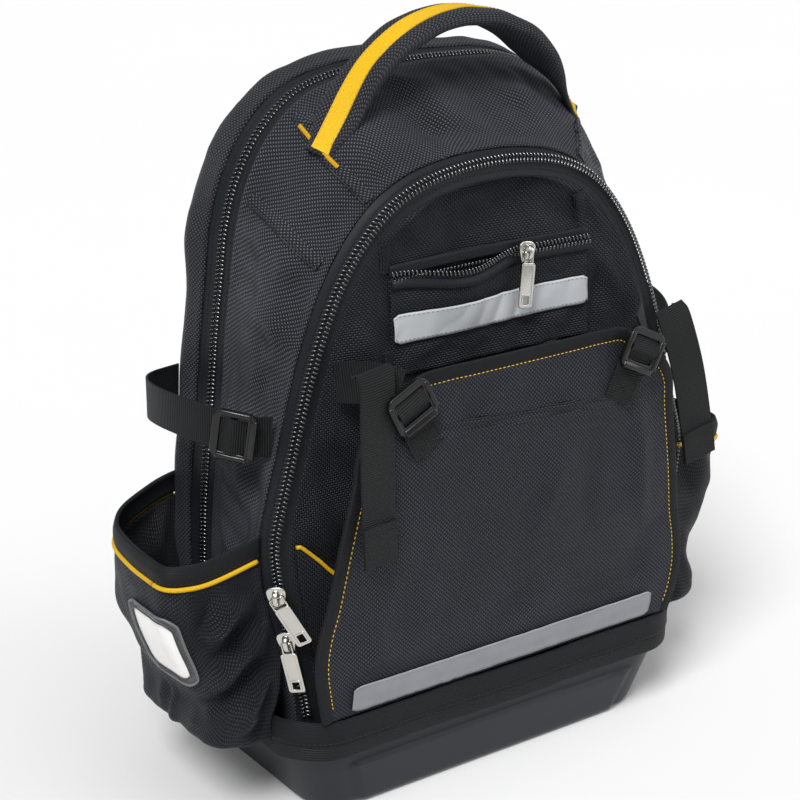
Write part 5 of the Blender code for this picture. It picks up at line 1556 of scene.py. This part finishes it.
def addSeam(name, tree, pixels, look, side=1):
    spots = []
    for px, py in curveThrough(np.array(pixels, float), 3 * len(pixels)):
        place, normal = pixelOn(tree, px, py)
        if place is not None:
            spots.append((place, normal if normal @ eyeBack > 0 else -normal))
    if len(spots) < 4:
        print("seam misses the cloth:", name)
        return
    line = curveThrough(np.array([place for place, _ in spots]), 60)
    out = unit(curveThrough(np.array([normal for _, normal in spots]), 60))
    run = unit(np.gradient(line, axis=0))
    across = unit(np.cross(out, run)) * side
    lip, rise = seamSet["lip"], seamSet["rise"]
    wedge = [(-0.5 * lip, -rise), (-0.5 * lip, rise * 0.7), (-0.42 * lip, rise), (0, rise * 0.7), (0.5 * lip, 0.0001),
             (0.5 * lip, -rise)]
    tubePiece(name, line, across, out, wedge, look, angle=50)
    # a thin black cord along the foot of the seam's step: a painted shadow line
    cordPiece(name + "Shade", line - across * lip * 0.56 + out * 0.0002, 0.0007, looks["blackThreadAndShadow"], ())
    stitchRow(name + "Stitch", line - across * lip * 0.22, out, looks["blackThreadAndShadow"], "seam", rise + 0.0001)


def addSeams():
    for word, tree, look in (("body", bandTree, "nylon"), ("panel", panelTree, "panelShadedNylon"),
                             ("flap", flapTree, "flapNylon")):
        for number, pixels in enumerate(seamSet[word]):
            addSeam(f"{word}Seam{number}", tree, pixels, looks[look], -1 if word == "flap" else 1)


addSeams()
print("seams made")

# bar tacks: short dense rows of yellow thread, each from pixel to pixel
tackSet = {"lift": 0.0024, "rows": ((301, 126, 316, 144), (321, 150, 339, 168), (571, 109, 574, 117))}


def addTacks():
    for number, (x0, y0, x1, y1) in enumerate(tackSet["rows"]):
        spots = [pixelOn(bandTree, px, py) for px, py in np.linspace((x0, y0), (x1, y1), 9)]
        if any(place is None for place, _ in spots):
            print("tack misses the cloth", number)
            continue
        facing = unit(sum(out if out @ eyeBack > 0 else -out for _, out in spots))
        line = curveThrough(np.array([place for place, _ in spots]), 40) + facing * tackSet["lift"]
        way = unit(np.gradient(line, axis=0))
        facing = np.broadcast_to(facing, line.shape)
        frames = axesAt(line, unit(np.cross(facing, way)) + way * 0.12, facing)
        scatter(f"barTack{number}", bead((0.0034, 0.0008, 0.0010), 6, 4), frames, looks["trim"])


addTacks()
print("handle made")

# ---- sliders and pulls

pullSet = {"width": 0.0105, "length": 0.029, "thick": 0.0014, "reach": 0.0068, "wire": 0.0007}


def sliderBody(name, matrix, node):
    plate = [(0.0068, -0.0026), (0.0068, 0.0026), (0.0050, 0.0054), (0.0015, 0.0055), (-0.0030, 0.0042),
             (-0.0062, 0.0030), (-0.0068, 0.0012),
             (-0.0068, -0.0012), (-0.0062, -0.0030), (-0.0030, -0.0042), (0.0015, -0.0055), (0.0050, -0.0054)]
    smoothPlate = curveThrough(np.array(plate + plate[:1]), 49)[:-1]
    platePiece(name, [smoothPlate.tolist()], 0.0026, 0.0008, matrix, looks["nickel"], (node,), lift=0.0016)
    turned, place = np.array(matrix)[:3, :3], np.array(matrix)[:3, 3]
    arch = np.array([(-0.0046, 0, 0.0022), (-0.0044, 0, 0.0052), (-0.0026, 0, 0.0067), (0.0, 0, 0.0070),
                     (0.0026, 0, 0.0067), (0.0046, 0, 0.0050), (0.0052, 0, 0.0022)])
    path = arch @ turned.T + place
    webbingPath = refine(path, 5)
    side, up = framesAlong(webbingPath, turned[:, 1])
    tubePiece(name + "Bridge", webbingPath, side, up, roundSection(0.0034, 0.0012, 12, 3), looks["nickel"])


def pullPiece(name, matrix, node, body, wide):
    half, wire, reach, length = pullSet["width"] / 2, pullSet["wire"], pullSet["reach"], pullSet["length"]
    tab = [(-reach - length / 2 + x, y) for x, y in roundedBox(length / 2, half, 0.0018)]
    slot = [(-reach - length * 0.84 + x, y) for x, y in roundedBox(length * 0.105, half * 0.50, 0.0008)]
    platePiece(name, [tab, slot], pullSet["thick"] * 0.75, 0.0003, matrix, looks["nickel"], (node,), body)
    rimIn = [(-reach - length / 2 + x, y) for x, y in roundedBox(length / 2 - 0.0012, half - 0.0012, 0.0012)]
    platePiece(name + "Border", [tab, rimIn], pullSet["thick"] * 1.15, 0.0003, matrix, looks["nickel"], (),
               body)
    slotRim = [(-reach - length * 0.84 + x, y)
               for x, y in roundedBox(length * 0.105 + 0.0009, half * 0.50 + 0.0009, 0.0012)]
    platePiece(name + "SlotRim", [slotRim, slot], pullSet["thick"] * 1.1, 0.0002, matrix, looks["nickel"],
               (), body)
    ring = [(wire * 0.2, -wide), (wire, -wide * 0.6), (wire, wide * 0.6), (wire * 0.2, wide),
            (-reach * 0.6, wide * 1.05), (-reach * 1.02, wide * 0.9),
            (-reach * 1.02, -wide * 0.9), (-reach * 0.6, -wide * 1.05)]
    turned, place = np.array(matrix)[:3, :3], np.array(matrix)[:3, 3]
    path = np.column_stack([curveThrough(np.array(ring + ring[:1]), 49)[:-1], np.zeros(48)]) @ turned.T + place
    run = unit(np.roll(path, -1, axis=0) - np.roll(path, 1, axis=0))
    up = np.broadcast_to(turned[:, 2], path.shape)
    tubePiece(name + "Ring", path, unit(np.cross(run, up)), up, roundSection(wire * 2, wire * 2, 10, 2),
              looks["nickel"], (), body, loop=True)


def pullFrame(joint, out):
    y = Vector(joint["axis"]).normalized()
    z = Vector(out)
    z = (z - y * z.dot(y)).normalized()
    return Matrix.Translation(Vector(joint["pos_m"])) @ Matrix((y.cross(z), y, z)).transposed().to_4x4()


def addSliders():
    joints = {joint["name"]: joint for joint in frame["record"]["behaviour"]["joints"]}
    for word, twist in (("upper", 0.42), ("lower", 0.0)):
        joint = joints[f"front_pull_{word}_lift"]
        pin = np.array(joint["pos_m"])
        gap = np.linalg.norm(stackFine[fineRow["frontChain"]] - pin, axis=1)
        near = int(gap.argmin())
        out = unit(stackNormal[fineRow["frontChain"], near])
        matrix = pullFrame(joint, out)
        body = joint["child"]
        pullPiece(f"frontPull{word.title()}", matrix, f"front_pull_{word}", body, 0.0030 + abs(twist) * 0.0035)
        slider = matrix @ Matrix.Rotation(-twist, 4, "Z") @ Matrix.Translation((0, 0, -0.0045))
        sliderBody(f"frontSlider{word.title()}", slider, f"front_slider_{word}")
    joint = joints["pocket_pull_lift"]
    matrix = pullFrame(joint, (0, -1, 0.1))
    pullPiece("pocketPull", matrix, "pocket_pull", joint["child"], 0.0030)
    sliderBody("pocketSlider", matrix @ Matrix.Translation((0, 0, -0.0045)), "pocket_slider")
    row = stackFine[fineRow["rearChain"]]
    near = int(np.abs(row[:160, 2] - bodySet["rearTop"] * 0.52).argmin())
    z, turned = lockAxes(Vector(row[near + 3] - row[near]).normalized(),
                         Vector(stackNormal[fineRow["rearChain"], near]))
    sliderBody("rearSlider", Matrix.Translation(Vector(row[near]) + z * 0.0012) @ turned, "rear_slider")


addSliders()
print("sliders made")

# ---- the back: pad, shoulder straps and their webbing

backSet = {"half": 0.105, "low": 0.115, "top": 0.390, "thick": 0.014, "strapWidth": 0.060, "strapThick": 0.011,
           "strapX": 0.062, "bow": 0.045,
           "line": ((1.00, 0.72, 0.80), (1.06, 1.00, 0.60), (1.18, 0.68, 0.42), (1.35, 0.27, 0.305)),
           "channels": (0.185, 0.252, 0.320), "stitchEdges": (-0.40, 0.40)}
# the pad and straps start smaller by "less" and are blown up; the last three shape the pad's grooves
padSet = {"gap": 0.0012, "less": 0.006, "strapLess": 0.004, "bevel": 0.0035, "cell": 0.004,
          "level": 0.005, "upright": 0.006, "deep": 0.0045}


# blows a closed shape up as cloth, from a slightly smaller start, within a cap
def puff(obj, pressure, cap, frames=20, stiff=12):
    pick(obj)
    start = pointsOf(obj)
    cloth = obj.modifiers.new("puff", "CLOTH")
    cloth.settings.use_pressure = True
    cloth.settings.uniform_pressure_force = pressure
    cloth.settings.effector_weights.gravity = 0
    cloth.settings.tension_stiffness = stiff
    cloth.settings.quality = 4
    cloth.point_cache.frame_end = frames
    for step in range(1, frames + 1):
        bpy.context.scene.frame_set(step)
    bpy.ops.object.modifier_apply(modifier=cloth.name)
    bpy.context.scene.frame_set(1)
    move = pointsOf(obj) - start
    length = np.linalg.norm(move, axis=1)[:, None]
    move *= np.minimum(1, cap / np.maximum(length, 1e-9))
    obj.data.vertices.foreach_set("co", (start + move).ravel())
    obj.data.update()


def remeshed(obj, size):
    pick(obj)
    obj.data.remesh_voxel_size = size
    bpy.ops.object.voxel_remesh()


def mapFlat(obj, first, second):
    points = pointsOf(obj)
    layer = obj.data.uv_layers.new(name="UVMap")
    corner = np.empty(len(obj.data.loops), np.int32)
    obj.data.loops.foreach_get("vertex_index", corner)
    layer.data.foreach_set("uv", np.stack([points @ first, points @ second], 1)[corner].astype(np.float32).ravel())


def addBackPad():
    y = bodySet["backY"] + backSet["thick"] / 2 + padSet["gap"]
    deselect()
    bpy.ops.mesh.primitive_cube_add(size=1)
    obj = bpy.context.object
    obj.name = "backPad"
    bpy.ops.object.mode_set(mode="EDIT")
    bpy.ops.mesh.select_all(action="SELECT")
    size = 2 * backSet["half"], backSet["thick"], backSet["top"] - backSet["low"]
    bpy.ops.transform.resize(value=[part - padSet["less"] for part in size])
    bpy.ops.mesh.bevel(offset=padSet["bevel"], segments=3, affect="EDGES")
    bpy.ops.object.mode_set(mode="OBJECT")
    obj.data.transform(Matrix.Translation((0, y, (backSet["low"] + backSet["top"]) / 2)))
    remeshed(obj, padSet["cell"])
    puff(obj, 4.0, padSet["less"])
    points = pointsOf(obj)
    points[:, 1] = np.clip(points[:, 1], bodySet["backY"] + 0.0006, None)
    outer = points[:, 1] > y
    groove = sum(np.exp(-(((points[:, 2] - z) / padSet["level"]) ** 2)) for z in backSet["channels"])
    groove = groove + np.exp(-((points[:, 0] / padSet["upright"]) ** 2)) * 0.8
    points[outer, 1] -= np.minimum(groove[outer], 1.0) * padSet["deep"]
    obj.data.vertices.foreach_set("co", points.ravel())
    smoothing = obj.modifiers.new("smooth", "SUBSURF")
    smoothing.levels = smoothing.render_levels = 1
    applyAll(obj)
    mapFlat(obj, np.array([1.0, 0.3, 0.0]), np.array([0.0, 0.3, 1.0]))
    settle(obj, looks["padding"], ("back_pad",))


# the points, moved along their own ways until they lie on the piece
def laidOn(obj, points, ways):
    mesh = obj.data
    tree = BVHTree.FromPolygons([obj.matrix_world @ vertex.co for vertex in mesh.vertices],
                                [face.vertices[:] for face in mesh.polygons])
    laid = []
    for point, way in zip(points, ways):
        hit = tree.ray_cast(Vector(point + way * 0.03), Vector(-way), 0.04)[0]
        laid.append(point if hit is None else np.array(hit))
    return np.array(laid)


def addShoulderStraps():
    face = bodySet["backY"] + backSet["thick"] + 0.0004
    for side, word in ((-1, "Left"), (1, "Right")):
        top = np.array([side * backSet["strapX"] * 0.9, bodySet["backY"] + backSet["strapThick"] / 2 + 0.0008,
                        bodySet["rearTop"] * 0.905])
        points = [top, top + (0, 0.004, -0.018)]
        for x, bow, z in backSet["line"]:
            points.append((side * backSet["strapX"] * x, face + backSet["bow"] * bow, bodySet["rearTop"] * z))
        path = curveThrough(np.array(points), 16)
        fine = refine(path, 6)
        across, up = framesAlong(fine, (1.0, 0.0, 0.0))
        size = backSet["strapWidth"] - padSet["strapLess"], backSet["strapThick"] - padSet["strapLess"]
        section = roundSection(*size, 40, 4.0)
        obj = tubePiece("shoulderStrap" + word, fine, across, up, section, looks["padding"],
                        ("shoulder_strap_" + word.lower(),))
        puff(obj, 2.5, 0.003, 12)
        for number, edge in enumerate(backSet["stitchEdges"]):
            outSide = (up if up[40, 1] > 0 else -up)[3:-3]
            row = laidOn(obj, fine[3:-3] + across[3:-3] * backSet["strapWidth"] * edge, outSide)
            stitchRow(f"shoulderStitch{word}{number}", row, outSide, looks["blackThreadAndShadow"], "strap")
        end = path[-1]
        down = unit(path[-1] - path[-2])
        start = end + down * 0.0070
        anchor = np.array([side * 0.118, bodySet["backY"] + 0.0012, bodySet["bindingTop"] + 0.016])
        line = curveThrough(np.array([start, (start + anchor) / 2 + np.array([0, 0.006, 0]), anchor]), 8)
        turn = np.array([1.0, 0, side * 0.55])
        strapPiece("shoulderWebbing" + word, line, turn, "shoulder_webbing_" + word.lower(), 6)
        along = Vector(line[4] - line[2]).normalized()
        z, turned = lockAxes(along, Vector(turn).cross(along))
        ladderLock("shoulderLock" + word, Matrix.Translation(Vector(line[3]) + z * 0.0034) @ turned,
                   "shoulder_lock_" + word.lower())


addBackPad()
addShoulderStraps()
print("back made")

# ---- floor and light

studioSet = {"sky": 0.36,
             "suns": (("keySun", (-1.15, -0.85, 1.75), 3.7, 24), ("topSun", (0.1, -0.3, 1.0), 1.0, 50),
                      ("rightSun", (1.2, -0.9, 0.6), 0.8, 30))}


def addStudio():
    deselect()
    bpy.ops.mesh.primitive_plane_add(size=12, location=(0, 0, -0.0005))
    floor = bpy.context.object
    floor.name = "studioFloor"
    look, tree, shader = newLook("paleFloor", 0.9, specular=0.1)
    shade = useGroup(tree, "wear", objectPlace(tree), Scale=1.0)
    tree.links.new(mixed(tree, shade["Shade"], (0.56, 0.56, 0.56), (0.58, 0.58, 0.58)), shader.inputs["Base Color"])
    shader.inputs["Emission Color"].default_value = (1, 1, 1, 1)
    shader.inputs["Emission Strength"].default_value = 0.05
    floor.data.materials.append(look)
    world = bpy.data.worlds.new("paleStudio")
    bpy.context.scene.world = world
    world.use_nodes = True
    tree = world.node_tree
    # the sky seen directly is white, and lights the object less than that
    seen = tree.nodes.new("ShaderNodeLightPath").outputs["Is Camera Ray"]
    tree.links.new(sums(tree, "MULTIPLY_ADD", seen, 1.0 - studioSet["sky"], studioSet["sky"]),
                   tree.nodes["Background"].inputs["Strength"])
    tree.nodes["Background"].inputs["Color"].default_value = (1, 1, 1, 1)
    for name, place, power, spread in studioSet["suns"]:
        bpy.ops.object.light_add(type="SUN", location=place)
        lamp = bpy.context.object
        lamp.name = name
        lamp.data.energy = power
        lamp.data.angle = np.radians(spread)
        lamp.rotation_euler = (-Vector(place)).to_track_quat("-Z", "Y").to_euler()
    bpy.context.scene.view_settings.view_transform = "Standard"


addStudio()
print("scene done")
